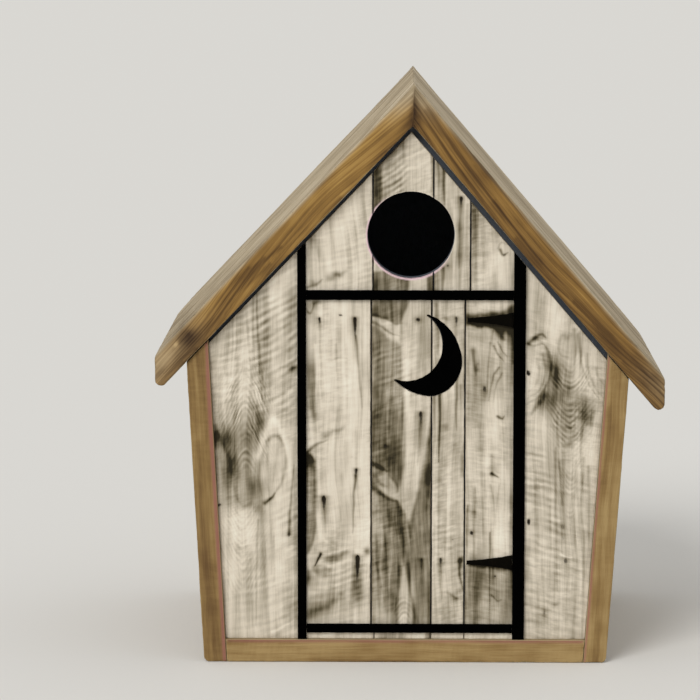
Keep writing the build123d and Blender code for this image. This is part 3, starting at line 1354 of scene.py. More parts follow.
    def _grid(self, step: float) -> np.ndarray:
        """Inner points in staggered rows.

        Args:
            step: spacing of the points.

        Returns:
            The points, clear of the rim.
        """
        corners = np.concatenate(self.section.loops)
        low, high = corners.min(axis=0), corners.max(axis=0)
        rows = np.arange(low[1], high[1], step * self.ROW_SHARE)
        columns = np.arange(low[0], high[0], step)
        across, up = np.meshgrid(columns, rows)
        across = across + (np.arange(len(rows)) % 2)[:, None] * step / 2
        spread = np.column_stack([across.ravel(), up.ravel()])
        spread = spread[self.section.inside(spread)]
        return spread[self.section.rim(spread) > 1.05 * self.ease + 0.4 * step]

    @staticmethod
    def _bands(rings: list[np.ndarray], lengths: list[int]) -> list[tuple[int, ...]]:
        """Faces between one ring of outline points and the next.

        Args:
            rings: the point numbers of each ring.
            lengths: how many points each loop has.

        Returns:
            The faces.
        """
        faces, first = [], 0
        for length in lengths:
            here = np.arange(first, first + length)
            onward = np.roll(here, -1)
            for near, far in zip(rings, rings[1:]):
                faces += np.column_stack([near[here], near[onward], far[onward], far[here]]).tolist()
            first += length
        return faces


@dataclass(frozen=True)
class EntryHole:
    """The round hole through the gable, in millimetres."""

    east: float = 0.5
    up: float = 190.5
    radius: float = 19.05


@dataclass
class Board:
    """One board, made anew over its CAD node, with its grain, marks and wear.

    Lengths are in millimetres. The ease is the roundness of its rims, the blotch how unevenly it has darkened,
    and the mitre the place of the cut that the two roof boards share. A snug board's sides stay true.
    """

    FIBRE_WIDTH = 1.6
    SEED_SHIFT = np.array([37.0, 11.0, 53.0])
    BEND_REACH = 9.0
    BEND_STEP = 2.0
    BEND_SAMPLES = 15
    SNUG_SHARE = 0.15

    node: str
    finish: bpy.types.Material
    slot: str
    outward: int = 0
    grip: Grip = Grip.FACE
    ease: float = 0.35
    both_ends: bool = False
    marks: Sequence[Mark] = ()
    tone: float = 0.3
    blotch: float = 0.12
    bend: Sequence[tuple[float, float]] = ((0.0, 0.0),)
    saw_lean: float = 6.0
    grey_arris: float = 0.0
    groove: float = 0.16
    crack: float = 0.9
    wear: float = 0.25
    seed: int = 0
    entry: EntryHole | None = None
    inner_blush: float = 0.0
    plan_round: float = 0.0
    mitre: float | None = None
    snug: bool = False

    def build(self) -> None:
        """Make the piece and let it stand for its CAD node."""
        section = Section.of(self.node)
        lay = Lay.by_edge(section, self.outward) if self.outward else Lay.upright()
        shell = Shell(section, self.grip, self.ease, self.both_ends, self.plan_round, self.outward,
                      self.mitre)
        front = (shell.points[:, 1] < (section.front + section.back) / 2) != (self.grip is Grip.REAR)
        sheet = Sheet(lay.measures(shell.points), shell.face, front, self.seed, bool(self.outward))
        sheet.tone += self.tone + self.blotch * sheet.noise((7.0, 7.0, 15.0), 1)
        streaks, spots = sheet.noise((2.2, 2.2, 40.0), 2), sheet.noise((3.4, 3.4, 6.0), 3)
        sheet.tone += self.blotch * (0.5 * streaks + 0.6 * spots)
        sheet.shift += self._wander(sheet.measures[:, 2]) + 1.6 * sheet.noise((14.0, 14.0, 34.0), 4)
        for mark in self.marks:
            mark.paint(sheet)
        self._blush(sheet, shell)
        if self.grey_arris and self.mitre is not None:
            depth = sheet.measures[:, 1] + 0.14 * sheet.noise((2.0, 2.0, 9.0), 22)
            joint = 1 - eased_step(np.abs(shell.points[:, 0] - self.mitre), 0.6, 1.6)
            golden = eased_step(depth, -0.2 * self.grey_arris, self.grey_arris)
            sheet.face = np.maximum(shell.face, joint) * golden * (1 - sheet.grey)
        mesh = bpy.data.meshes.new(self.node)
        mesh.from_pydata((shell.points * MM).tolist(), [], shell.faces)
        self._carry(mesh, sheet, shell)
        tidy = bmesh.new()
        tidy.from_mesh(mesh)
        bmesh.ops.recalc_face_normals(tidy, faces=tidy.faces)
        tidy.to_mesh(mesh)
        tidy.free()
        piece = bpy.data.objects.new(f"{self.node}_worn", mesh)
        bpy.context.scene.collection.objects.link(piece)
        run_tree(piece, RELIEF.tree, Groove_Depth=self.groove, Crack_Depth=self.crack, Wear_Depth=self.wear,
                 Fibre_Width=self.FIBRE_WIDTH, Seed=float(self.seed), Material=self.finish)
        settle(piece, self.slot, self.node)

    def _wander(self, along: np.ndarray) -> np.ndarray:
        """How far the grain strays aside at each place along the board, smooth between the bend's points.

        Args:
            along: places along the board.

        Returns:
            One shift for each place.
        """
        samples = np.arange(along.min() - 20, along.max() + 20, self.BEND_STEP)
        path = np.interp(samples, [place for place, _ in self.bend], [aside for _, aside in self.bend])
        count = self.BEND_SAMPLES
        window = np.exp(-0.5 * (np.arange(-count, count + 1) * self.BEND_STEP / self.BEND_REACH) ** 2)
        smooth = np.convolve(np.pad(path, count, mode="edge"), window / window.sum(), mode="valid")
        return np.interp(along, samples, smooth)

    def _blush(self, sheet: Sheet, shell: Shell) -> None:
        """Redden the fresh cut round the entry hole, or the inner edge of a wall or the base.

        Args:
            sheet: the board's surface.
            shell: the board's mesh.
        """
        if self.entry:
            east, up = shell.points[:, 0] - self.entry.east, shell.points[:, 2] - self.entry.up
            beyond = np.hypot(east, up) - self.entry.radius
            lower_west = eased_step(-(east + up) / self.entry.radius, -0.6, 0.5)
            sheet.blush = np.maximum(sheet.blush, eased_step(-beyond, -0.95, -0.55) * lower_west)
            sheet.tone *= eased_step(beyond, 0.0, 0.5)
        if self.inner_blush:
            through = sheet.measures[:, 1]
            start = through.max() - self.inner_blush + 0.35 * sheet.noise((3.0, 3.0, 12.0), 21)
            sheet.blush = 0.85 * eased_step(through - start, -0.5, 0.5) * shell.face

    def _give(self, sheet: Sheet, shell: Shell) -> np.ndarray:
        """Share of the relief that each point takes: little where the board bears on its neighbours.

        Args:
            sheet: the board's surface.
            shell: the board's mesh.

        Returns:
            One share for each point.
        """
        if self.snug:
            return self.SNUG_SHARE + (1 - self.SNUG_SHARE) * shell.face
        if self.mitre is not None:
            return eased_step(np.abs(shell.points[:, 0] - self.mitre), 0.6, 2.0)
        if self.inner_blush:
            through = sheet.measures[:, 1]
            return np.where(through > through.max() - 0.4, self.SNUG_SHARE, 1.0)
        return np.ones(len(shell.points))

    def _carry(self, mesh: bpy.types.Mesh, sheet: Sheet, shell: Shell) -> None:
        """Store the values that the relief and the finish read.

        Args:
            mesh: the board's new mesh.
            sheet: the board's surface.
            shell: the board's mesh.
        """
        grain = sheet.measures + self.SEED_SHIFT * (self.seed + 1)
        grain[:, 1 if sheet.edge_grain else 0] += sheet.shift * (shell.face if sheet.edge_grain else 1.0)
        sawn = sheet.seen(Side.FACE)[0] * -math.tan(math.radians(self.saw_lean)) + sheet.measures[:, 2]
        sawn += 0.5 * sheet.noise((9.0, 9.0, 9.0), 23) + 17.0 * self.seed
        stored = mesh.attributes.new("grain", "FLOAT_VECTOR", "POINT")
        stored.data.foreach_set("vector", grain.astype(np.float32).ravel())
        carried = {"tone": sheet.tone, "cut": sheet.cut, "blush": sheet.blush, "rim": shell.rim,
                   "face": sheet.face, "sawn": sawn, "give": self._give(sheet, shell)}
        for name, values in carried.items():
            stored = mesh.attributes.new(name, "FLOAT", "POINT")
            stored.data.foreach_set("value", values.astype(np.float32))


def settle(piece: bpy.types.Object, slot: str, node: str) -> None:
    """Ride a finished piece on the one body, log its slot and let it stand for its CAD node.

    Args:
        piece: the finished object, at the origin.
        slot: the record's material slot.
        node: the CAD node that it stands for.
    """
    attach(piece, BODY)
    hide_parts(node)
    count = sum(len(face.vertices) - 2 for face in piece.data.polygons)
    LOG.info("%s: %d triangles, finish %s", piece.name, count, slot)


def picked(draw: np.random.Generator, low: float, high: float) -> float:
    """A number drawn evenly between two others."""
    return float(draw.uniform(low, high))


EFFECTS = Effects()
RELIEF = Relief()

# Fine checks on each outer side, how far to the front and the back they lie, and the way a side faces
FINE_CHECKS = 8
CHECKED_DEPTH = (-64, 72)
OUTWARD = {"left": -1, "right": 1}


# Sub-assemblies

@dataclass(frozen=True)
class BoardPlan:
    """How one board looks: how dark it is, how the saw leaned, how its grain wanders, and its marks."""

    tone: float
    saw_lean: float = 7.0
    bend: tuple[tuple[float, float], ...] = ((0.0, 0.0),)
    snug: bool = False
    marks: tuple[Mark, ...] = ()


# Marks of the front boards, listed one by one: the way east, then the height above the ground, in millimetres
FRONT_PLANS = {
    # Left outer board: arches between two dark wings, an oval knot and a long check
    "front_board_left": BoardPlan(0.33, 14.0, ((60, 0), (100, 1.5), (150, -1.0)), snug=True, marks=(
        SawPatch(-57, 145, 24, 72, 0.22, 30), SawPatch(-72, 148, 24, 40, 0.13, 22),
        SawPatch(-60, 26, 36, 50, 0.08, 19), SawPatch(-54, 66, 14, 60, 0.11, 27),
        SawPatch(-80, 128, 16, 26, 0.12, 14), Arches(-72.5, 110, 20, 42, 0.3, 2.4),
        Shade(-73, 101, 18, 9, 0.15), Arches(-72, 128, 12, 30, 0.1, 4), Arches(-74, 50, 20, 36, 0.2, -2.2),
        Area(((-88, 112), (-78, 117), (-66, 114), (-62, 104), (-67, 86), (-70, 70), (-84, 74)), 10, 0.2),
        Shade(-65.8, 106.6, 6, 12, 0.24, -10), Shade(-68.4, 113, 5, 13, 0.1, -14),
        Shade(-81, 100.5, 6, 10, 0.36), Shade(-86, 100.4, 3, 8, 0.55, -20),
        Shade(-78.6, 89.6, 6, 13, 0.34, 4), Shade(-79.6, 84, 8, 11, 0.22),
        Stroke(((-86, 105), (-82.5, 98), (-79.5, 90), (-78, 84)), 2.4, 0.2),
        Stroke(((-66.5, 92), (-64, 101), (-60.5, 108.5), (-56.5, 103), (-53.6, 92), (-53, 84)), 3.6, -0.26),
        Stroke(((-63, 99), (-59.4, 101.6), (-56, 98), (-54.8, 91), (-56, 82), (-59.6, 75.4),
                (-63, 72)), 1.9, 0.26),
        Stroke(((-63.4, 97), (-66, 90), (-66.6, 82), (-65.4, 75)), 1.9, 0.15),
        Shade(-60.6, 87, 8, 20, 0.07, -14),
        Stroke(((-64, 71.6), (-61.6, 73.2), (-59.6, 75.6)), 1.9, 0.5, 0.2),
        Stroke(((-62.6, 93), (-63.4, 83), (-62.4, 77)), 1.3, 0.1),
        Stroke(((-58.6, 95), (-59.4, 86), (-60.6, 79)), 1.3, 0.1),
        Stroke(((-77.6, 79), (-76.6, 74), (-74.6, 71)), 2.4, 0.14),
        Stroke(((-73.6, 69.6), (-71.4, 70), (-69.8, 72)), 2.4, 0.16), Shade(-69.2, 77, 4.4, 15, 0.34),
        Shade(-67.6, 69, 4, 4, 0.2), Spot(-84.4, 70.3, 2.8, 1.7, 0.6, 30), Shade(-51.6, 131.5, 5, 3.4, 0.5),
        Spot(-51.2, 131.6, 2, 1, 0.3), Shade(-73.5, 131.5, 4, 3.4, 0.2), Shade(-75, 60, 20, 20, -0.2),
        Shade(-60, 56, 12, 26, 0.06), Shade(-83, 28, 4, 24, 0.14),
        Stroke(((-78.2, 158), (-78, 145), (-78.6, 128)), 1.2, 0.22),
        Stroke(((-76.2, 157), (-76, 145), (-76.8, 136)), 0.9, 0.2),
        Stroke(((-71.6, 160), (-71.4, 145), (-70, 130)), 1, 0.14),
        Stroke(((-69, 165), (-69, 148), (-68.4, 134)), 1, 0.18),
        Stroke(((-67.4, 166), (-66.8, 145), (-65.6, 125), (-64.4, 112)), 1.1, 0.28),
        Stroke(((-66, 142), (-64.6, 125), (-62.6, 112)), 1, 0.2),
        Stroke(((-71, 150), (-70, 130), (-67, 114)), 1.1, 0.12),
        Stroke(((-81.5, 128), (-82, 112), (-80.6, 104)), 1.4, -0.16),
        Stroke(((-78, 124), (-79.6, 112), (-84, 104)), 1.3, 0.14),
        Stroke(((-67, 64), (-67.6, 44), (-68.2, 16)), 1.1, 0.2),
        Stroke(((-60, 56), (-60, 40), (-60.6, 22)), 1.1, 0.1), Spot(-53.2, 57, 1.4, 2.4, 0.6),
        Stroke(((-53.2, 57), (-53, 63), (-52.4, 72), (-51, 88)), 1.5, 0.42, 0.4),
        Stroke(((-61, 13), (-55, 16), (-50, 19)), 1.2, -0.18), Shade(-51.5, 150, 5, 50, 0.14),
        Shade(-64, 156, 9, 40, 0.07, -4),
    )),
    # Right outer board: hanging arches, a dark swirl and small nail marks
    "front_board_right": BoardPlan(0.35, -10.0, ((20, 0), (90, 1.5), (150, -2.0)), snug=True, marks=(
        Shade(64, 42, 26, 60, 0.08), Shade(64, 146, 22, 26, -0.09), Shade(64, 104, 24, 46, 0.05),
        SawPatch(57, 50, 22, 96, 0.12, -15), SawPatch(73, 46, 20, 90, 0.08, -15),
        TightSawPatch(56, 88, 16, 24, 0.1, -12), FineArches(70.4, 113, 17, 40, 0.3, -1.4),
        FineArches(71, 80, 15, 34, 0.12, -3),
        Area(((60, 139), (66, 136), (70, 128), (79, 120), (81, 110), (74, 99), (66, 104), (60, 112),
              (59, 126)), 9, 0.2),
        Shade(64.4, 127.5, 5, 12, 0.4, -6), Shade(62, 134, 6, 9, 0.26, 14), Shade(61, 117, 7, 11, 0.34),
        Shade(67, 121, 7, 11, 0.2, -24), Shade(77, 112.6, 8, 11, 0.32), Shade(79.4, 109, 4, 7, 0.16),
        Stroke(((59.2, 119.8), (56.6, 115.8), (53.8, 111.6)), 2.6, 0.4), Shade(57, 116, 5, 9, 0.22, 36),
        Stroke(((52.4, 142.6), (55, 145.6), (58, 146.8), (60, 145.4)), 1.9, 0.42),
        Shade(55.6, 145.2, 4, 3, 0.34), Shade(59.4, 146, 3, 2, 0.3),
        Stroke(((50.6, 143), (55, 141.6), (59, 142.4), (62.6, 137)), 1.3, 0.22),
        Stroke(((60, 141), (62.2, 134), (61, 126), (57, 119.4), (50.6, 115)), 1.7, 0.22),
        Stroke(((58.4, 138), (59.8, 130), (57, 122), (51, 117.6)), 1.3, 0.18),
        Stroke(((56, 136), (57, 129), (54.6, 123), (50.6, 120.6)), 1.3, 0.14), Shade(53.6, 130, 8, 16, -0.08),
        Spot(52.2, 129.5, 2, 2.8, 0.8, 20), Shade(69, 146, 5, 3, 0.28),
        Stroke(((66.6, 146), (65.4, 142), (66.4, 138), (70, 136.6)), 1.3, 0.18),
        Stroke(((72.4, 149), (73, 140), (72.4, 133)), 1.8, 0.22),
        Stroke(((74.6, 148), (75.4, 138), (75, 132)), 1.4, 0.18),
        Stroke(((74, 147), (75.6, 134), (79, 124.6), (83.6, 118)), 1.3, 0.24),
        Stroke(((78, 138), (79, 130), (82, 123), (85.4, 119)), 1.2, 0.18),
        Stroke(((76, 136), (77.6, 127), (82, 119)), 1.8, -0.16),
        Stroke(((82, 132), (83, 128), (86, 124)), 1.2, 0.14),
        Stroke(((83, 112), (80.4, 100), (80, 88)), 2.6, -0.12), Shade(70.6, 105.6, 3.4, 3, 0.26),
        Shade(70.4, 98.6, 3, 3.4, 0.22), Shade(58.4, 160, 9, 22, 0.12), Shade(69, 158, 14, 20, -0.12, 40),
        Stroke(((65, 112), (65.6, 98), (66.6, 84), (67.6, 70)), 1.2, 0.2),
        Stroke(((76.4, 106), (75.6, 92), (76.6, 78)), 1.3, 0.18),
        Stroke(((64.4, 96), (64.8, 70), (65.8, 32)), 1.1, 0.17),
        Stroke(((66.2, 90), (67.2, 68), (68, 44)), 1.2, 0.17),
        Stroke(((62, 70), (62.6, 52), (62.4, 34)), 1.1, 0.16),
        Stroke(((77, 92), (76.2, 70), (77.4, 50), (76.6, 18)), 1.5, 0.2),
        Stroke(((79, 88), (79.6, 66), (78.6, 40)), 1.2, 0.16),
        Stroke(((73.6, 90), (73, 72), (73.6, 50)), 1.3, 0.14), Spot(68, 61, 1.6, 2.8, 0.45),
        Spot(68.2, 56.2, 1.7, 2.4, 0.35), Spot(69.4, 45.5, 1.9, 2.8, 0.6),
        Stroke(((67.4, 48.4), (70, 47.4), (72.6, 47.2)), 1, -0.24), Spot(52.8, 63, 1.7, 3.4, 0.8),
        Spot(60, 22, 1.2, 2.4, 0.5), Shade(65, 26, 3, 2, 0.24), Shade(70, 86, 9, 20, 0.12),
        Shade(53, 36, 5, 46, 0.1),
    )),
    # First door board: pale, with short checks, smears and a dark left edge, partly a dark stain and partly
    # painted shadow beside the jamb strip
    "door_board_1": BoardPlan(0.27, 7.0, ((20, 2.0), (60, 0), (150, 1.5)), marks=(
        Shade(-31, 134, 24, 44, -0.06), Check(-39.5, 154.2, 1.4, 5, 0.9),
        Stroke(((-39.4, 152), (-39.2, 138), (-38.6, 118)), 1.4, 0.26), Check(-24, 154.4, 1.7, 13, 1, 2),
        Stroke(((-23.8, 146), (-22.4, 130), (-20.8, 114)), 1.3, 0.34), Spot(-34.4, 154.4, 1.8, 1, 0.3),
        Spot(-30.3, 155, 2.1, 1.1, 0.6), Shade(-41, 160.4, 4.6, 3, 0.34),
        Stroke(((-46.4, 158.6), (-43.6, 156), (-42, 160)), 1.2, 0.3), Shade(-43.2, 126, 4.2, 26, 0.36, 2),
        Stroke(((-41.6, 142), (-41, 128), (-41.6, 112)), 1.6, -0.16), Shade(-42.4, 112, 3, 9, 0.24, 8),
        Stroke(((-37, 101.6), (-33, 103.4), (-28.6, 105.4)), 3, 0.28),
        Stroke(((-45, 94), (-41, 97.6), (-36.4, 99.6)), 1.5, 0.4), Shade(-44.4, 91, 5, 7, 0.62, 10),
        Spot(-44.8, 91.4, 2.4, 3.4, 0.5),
        Area(((-46.6, 89), (-41.6, 90), (-41.2, 70), (-42.2, 54), (-46.6, 50)), 1.6, 0.36),
        # Painted shadow: the first shade darkens the left edge, where the jamb strip stands proud
        Shade(-46.2, 80, 2.4, 70, 0.24), Stroke(((-33, 136), (-29.6, 136.4), (-26, 135.6)), 1, 0.16),
        Stroke(((-28, 142), (-27.6, 124), (-28.4, 106)), 1.6, 0.1),
        Stroke(((-32.6, 142), (-32.2, 130)), 1.2, 0.12), Spot(-25.4, 92, 1.6, 0.9, 0.3),
        Check(-23.5, 87, 1.5, 6, 0.9, -4), Stroke(((-23.7, 84), (-24.6, 74), (-25, 58)), 1.2, 0.44),
        Check(-37.8, 74.6, 2.3, 8.4, 0.95), Stroke(((-37.6, 70), (-37, 58)), 1.6, 0.16),
        Spot(-24, 61, 1.2, 1, 0.35), Stroke(((-39.2, 48.6), (-40.4, 46.4), (-41.8, 43)), 1.7, 0.6, 0.8),
        Stroke(((-36, 46.4), (-32, 46.8), (-28, 49), (-24.6, 49.4)), 3.2, 0.36),
        Stroke(((-35.4, 48.8), (-31, 50), (-27, 51)), 1.6, -0.14), Check(-23, 48, 2.2, 16, 1),
        Shade(-23, 34, 4, 18, 0.3), Shade(-18.6, 50, 3, 5, 0.55), Shade(-45.2, 38, 3.4, 9, 0.6),
        Area(((-42.6, 43), (-35, 42.4), (-36.6, 38), (-41, 38.6)), 2, 0.26),
        Stroke(((-46, 21), (-38, 24), (-30, 30)), 5.4, 0.3), Stroke(((-44, 31), (-36, 33.6)), 3, -0.12),
        TightSawPatch(-30, 34, 30, 30, 0.12, 14), Shade(-32, 28, 30, 26, 0.16), Shade(-20, 34, 6, 26, 0.12),
        Stroke(((-30, 84), (-30, 70), (-31, 56)), 1.6, 0.1),
        Stroke(((-40.4, 66), (-39, 56), (-33, 52)), 2, -0.12),
    )),
    # Second door board: a dark left half, a pale knot half way down and a dark wedge
    "door_board_2": BoardPlan(0.34, 14.0, ((20, 0), (80, 2.0), (150, 0)), marks=(
        Shade(-10, 134, 12, 44, -0.09), Shade(-6, 90, 18, 40, 0.05),
        Area(((-18, 163), (-1.4, 163), (-2.6, 155), (-5, 151.6), (-11, 153.6), (-18, 156)), 1.8, 0.38),
        Stroke(((-18, 155.6), (-12, 154), (-6, 151.4), (-3, 151.6)), 1.5, 0.22),
        Shade(-16, 160.6, 5, 5, -0.2), Stroke(((-17, 152.4), (-12, 150), (-7.6, 147), (-4.6, 146)), 1.5, 0.3),
        Shade(-10, 151.6, 12, 2.4, -0.1, 20),
        Area(((-18, 147), (-8, 144), (-4, 141), (-3.4, 128), (-2, 114), (-1.6, 98), (-2.4, 88), (-4, 80),
              (-5.6, 76), (-6.6, 81), (-10, 85.6), (-18, 88)), 2.2, 0.25),
        TightSawPatch(-8.4, 131, 14, 24, 0.18, 23), TightSawPatch(-9, 106, 17, 34, 0.08, 22),
        Shade(-15.4, 112, 3.6, 56, 0.2), Shade(-9, 112, 14, 22, 0.12), Shade(-8, 94, 14, 20, 0.16),
        Shade(-4.4, 84, 5, 12, 0.16, -20), Shade(-14, 141, 7, 8, 0.12),
        Stroke(((-1.8, 150), (-1.2, 136), (-1.4, 124), (0, 108)), 2, -0.1), Shade(-8, 146, 6, 4, -0.08),
        Spot(3.6, 153.2, 2.2, 1.9, 0.75), Shade(3.6, 153, 5, 4, 0.14), Check(5, 112.4, 1.9, 9, 0.85, 2),
        Stroke(((4.8, 108), (4.2, 98), (3.6, 88)), 1.6, 0.24), Spot(-10.6, 97, 1.8, 1.8, 0.65),
        Area(((9, 107), (10.4, 102), (10.4, 15), (3.4, 15), (2.6, 34), (1.2, 52), (-0.2, 62), (2.6, 72),
              (4.6, 80), (7.2, 96)), 2, 0.33),
        Stroke(((8.4, 82), (8.8, 92), (9.2, 105)), 4, 0.34),
        Stroke(((8.2, 84), (7.2, 74), (5.2, 62)), 5.4, 0.26), Shade(8, 78, 5, 18, 0.16),
        Shade(4, 38, 2, 22, -0.16),
        Area(((-17.4, 84.6), (-12, 85.4), (-8.6, 83), (-6, 77), (-7.6, 74.6), (-13, 77), (-18, 79)), 2, 0.1),
        Stroke(((-17.6, 89), (-13.6, 87.6), (-10, 85.4)), 2.4, 0.5, 0.1), Shade(-13, 91.6, 9, 5, 0.12),
        Stroke(((-9, 84), (-5.8, 80), (-5, 76.4)), 1.4, 0.14),
        Stroke(((-15.6, 83.4), (-12.6, 80), (-10, 79)), 2.2, 0.22),
        Stroke(((-8.4, 81.6), (-7, 78.6)), 1.6, -0.1),
        Stroke(((-17, 78.2), (-12.6, 75.8), (-8.4, 73.2), (-5.4, 72.4)), 2.6, 0.34),
        Area(((-18, 78.4), (-12, 76), (-6, 73), (-3.4, 70), (-0.6, 64), (0.6, 58), (1.4, 44), (1.6, 30),
              (2.2, 15), (-18, 15)), 2.2, 0.36),
        Shade(-7, 66, 9, 16, 0.2), Shade(-9, 52, 12, 16, 0.1),
        Stroke(((-3.2, 60), (-2.6, 54), (-3, 46)), 3.6, 0.22), Shade(-4.4, 69, 4, 8, 0.14, -20),
        Stroke(((-4, 43), (-5, 34), (-6.4, 21)), 2, 0.16), Shade(-3, 56, 5, 14, 0.1),
        Stroke(((-0.6, 44), (0.6, 34), (1.8, 22)), 2, 0.18), Shade(-14, 81, 8, 6, 0.12, -20),
        Stroke(((-10.2, 56), (-10.4, 42), (-9.6, 28)), 2.4, 0.12),
        Stroke(((-14.6, 70), (-14, 58), (-15, 40)), 1.5, 0.1),
        Stroke(((-12.6, 62), (-12.2, 50), (-12.8, 34)), 1.4, -0.12),
        Stroke(((-7.8, 60), (-8, 46), (-9, 32)), 1.3, -0.14),
        Area(((-2.3, 43), (-4.8, 18), (0.6, 18)), 1.4, -0.2), Shade(-13, 20, 9, 9, -0.14),
        Shade(-15, 60, 4, 12, -0.06),
        Area(((-0.6, 96), (4.6, 94), (3.4, 78), (0.4, 67), (-2.6, 76), (-1.6, 88)), 2.6, -0.06),
        Stroke(((3.4, 76), (1.8, 66), (0.6, 56)), 1.8, 0.12), Check(5.4, 46.6, 1.6, 9, 0.7),
        Shade(8, 54, 5, 12, 0.08), FineArches(-2.2, 24, 8, 14, 0.14, 1.8),
        Stroke(((10.4, 60), (10.8, 36), (10.8, 16)), 1.8, 0.26), Stroke(((-14.6, 44), (-11, 28)), 1.2, 0.12),
        Stroke(((5, 150), (4.8, 136)), 1.4, 0.08), Stroke(((8.2, 160), (8.4, 130)), 1.2, 0.12),
    )),
    # Third door board, which the moon covers in part
    "door_board_3": BoardPlan(0.33, 10.0, marks=(
        Shade(17, 40, 11, 54, 0.1), Check(20.4, 154.6, 1.5, 6, 0.85), Shade(20.4, 147, 2.4, 8, 0.16),
        Shade(16, 154, 4, 2.4, 0.24), Stroke(((13.4, 121), (13.2, 106), (13, 90)), 1.3, 0.55, 0.5),
        Stroke(((11.6, 160), (12.6, 148), (12.6, 138)), 2.2, 0.24),
        Stroke(((10.8, 120), (11, 104), (10.8, 92)), 1, 0.24),
        Stroke(((21, 128), (20.6, 114), (20.8, 104)), 1.4, 0.36),
        Stroke(((22.4, 124), (22.6, 108), (22, 94)), 1.2, 0.2), Spot(15.4, 106, 1.4, 1.3, 0.4),
        Shade(16.4, 105, 3, 3, 0.14), Spot(20, 97.6, 1.3, 1, 0.3), Shade(23.2, 88, 2.4, 12, 0.24),
        Spot(14, 80.6, 1.3, 1.3, 0.35), Check(14, 46.8, 1.5, 6, 0.85),
        Stroke(((14, 43), (14, 36), (14.4, 28)), 1.4, 0.24),
        Stroke(((22.4, 46), (22.6, 39), (24, 32)), 1.6, 0.46, 0.4), Shade(22.8, 45.2, 2.6, 2.6, 0.5),
        Spot(19.2, 55, 1.2, 1.2, 0.4), TightSawPatch(17, 62, 16, 44, 0.06, 12), Shade(20, 28.6, 5, 4, 0.3),
        Shade(22, 32, 3, 3, 0.2), Stroke(((17, 31), (20, 29), (23.6, 28)), 1.3, 0.16),
        Shade(17, 22, 16, 14, 0.12), Shade(11.6, 130, 3, 56, 0.12), Shade(17.4, 68, 3, 60, -0.1),
        Shade(23.4, 136, 2.4, 40, 0.12),
    )),
    # Hinge board: stains at both hinges, a dark foot, fine knots and painted shadow down its right edge beside
    # the jamb strip
    "door_board_4": BoardPlan(0.34, -6.0, ((30, 0), (120, 1.5)), marks=(
        Spot(29, 159.8, 1.1, 1.5, 0.4), Shade(35, 159.4, 18, 5, -0.2),
        Area(((25, 155.4), (34, 156), (41, 157), (47, 160.4), (47, 151), (25, 151)), 2.4, 0.46),
        Stroke(((47, 150), (38, 150.8), (30, 151.2), (26, 151.6)), 4, 0.7, 0.5),
        Shade(41.6, 148.6, 9, 8, 0.42), Stroke(((38.6, 149), (39.6, 146.6), (41.6, 144.4)), 3, 0.4, 0.2),
        Stroke(((46, 148), (45.6, 142), (45.6, 134)), 3, 0.42), Shade(31, 146.4, 10, 8, 0.16),
        # Painted shadow: the first shade darkens the right edge, where the jamb strip stands proud
        Shade(46, 124, 4.6, 84, 0.36), Shade(29.4, 126, 9, 56, 0.16),
        Stroke(((27.8, 139.4), (28.6, 134), (29.2, 129)), 2.4, 0.34),
        Stroke(((28.8, 132), (29, 116)), 2.2, 0.14), Spot(30, 133.6, 1, 1.2, 0.4), Spot(30, 131, 1, 1.3, 0.4),
        Spot(33, 122.4, 1.7, 3, 0.65), Shade(33, 120, 4, 9, 0.2),
        Stroke(((37, 141.6), (38.8, 137.6), (41.4, 134.6)), 1, 0.34),
        Stroke(((38.6, 143.6), (41, 139), (44, 135.6)), 0.9, 0.26),
        Stroke(((39.4, 132), (36.6, 127.4), (34.8, 117)), 1.1, 0.3),
        Stroke(((40.6, 129.6), (38, 124), (36.8, 114)), 0.9, 0.22),
        Stroke(((35.4, 143), (34.6, 130), (34, 120)), 0.9, 0.18),
        Stroke(((36.4, 148), (35.6, 138)), 0.9, 0.16), Shade(39.4, 115.6, 6, 11, -0.16),
        Stroke(((38.8, 110.4), (40.6, 109.4), (41.8, 110.6)), 1.4, 0.5), Shade(41, 106.6, 4, 4, -0.14),
        Spot(36.6, 92.4, 2, 1.6, 0.4), Shade(37.2, 88.6, 4.6, 8, 0.3), Shade(41.4, 89, 3, 8, -0.12),
        Shade(33.6, 89, 3, 8, -0.1), Stroke(((36.2, 84.8), (37.4, 83.8), (39.4, 83)), 1.5, 0.6, 0.6),
        Stroke(((36, 80), (37.6, 68), (37.2, 56)), 0.9, 0.16),
        Stroke(((39.6, 80), (38.6, 70), (38, 60)), 0.9, 0.14), Spot(27.6, 58, 1.6, 2.2, 0.8, 20),
        Shade(28.6, 67, 2.4, 2.6, 0.2), Stroke(((28.8, 78), (28.6, 62), (28.4, 47)), 1.8, 0.24),
        Stroke(((25.8, 70), (25.6, 56), (25.4, 46)), 1.2, 0.3),
        Area(((26, 46), (31, 43.6), (30.4, 16), (26.6, 16)), 3.6, 0.2),
        Area(((24.4, 44), (47, 42), (47, 16), (24.4, 16)), 4, 0.2), Shade(33, 38, 5, 16, 0.14),
        Stroke(((35.8, 58), (35.7, 44), (35.9, 17)), 0.9, 0.44, 0.3), Spot(38, 38.6, 1.2, 1.3, 0.6),
        Shade(38.4, 30, 4.6, 6, 0.26), Stroke(((36.6, 30), (39, 27.4), (41.4, 28)), 0.9, 0.24),
        Shade(45.4, 30, 3.6, 26, 0.28), Stroke(((46, 42.4), (38, 43), (27, 44.2)), 3.4, 0.5),
        TightSawPatch(38, 30, 16, 26, 0.08, -16), Shade(38, 68, 14, 34, -0.08), Shade(45.6, 64, 3, 36, 0.16),
    )),
    # Pale gable board left of the entry hole
    "gable_board_1": BoardPlan(0.26, 9.0, ((170, 0), (210, 1.5)), marks=(
        Stroke(((-35.4, 172), (-32, 173), (-28, 174.8)), 3.2, 0.3), Shade(-31.6, 173, 5, 2.4, 0.24),
        Stroke(((-45, 167.4), (-41.4, 168.6), (-38.4, 171)), 1.6, 0.34), Shade(-42.4, 169.4, 5, 2.4, 0.2),
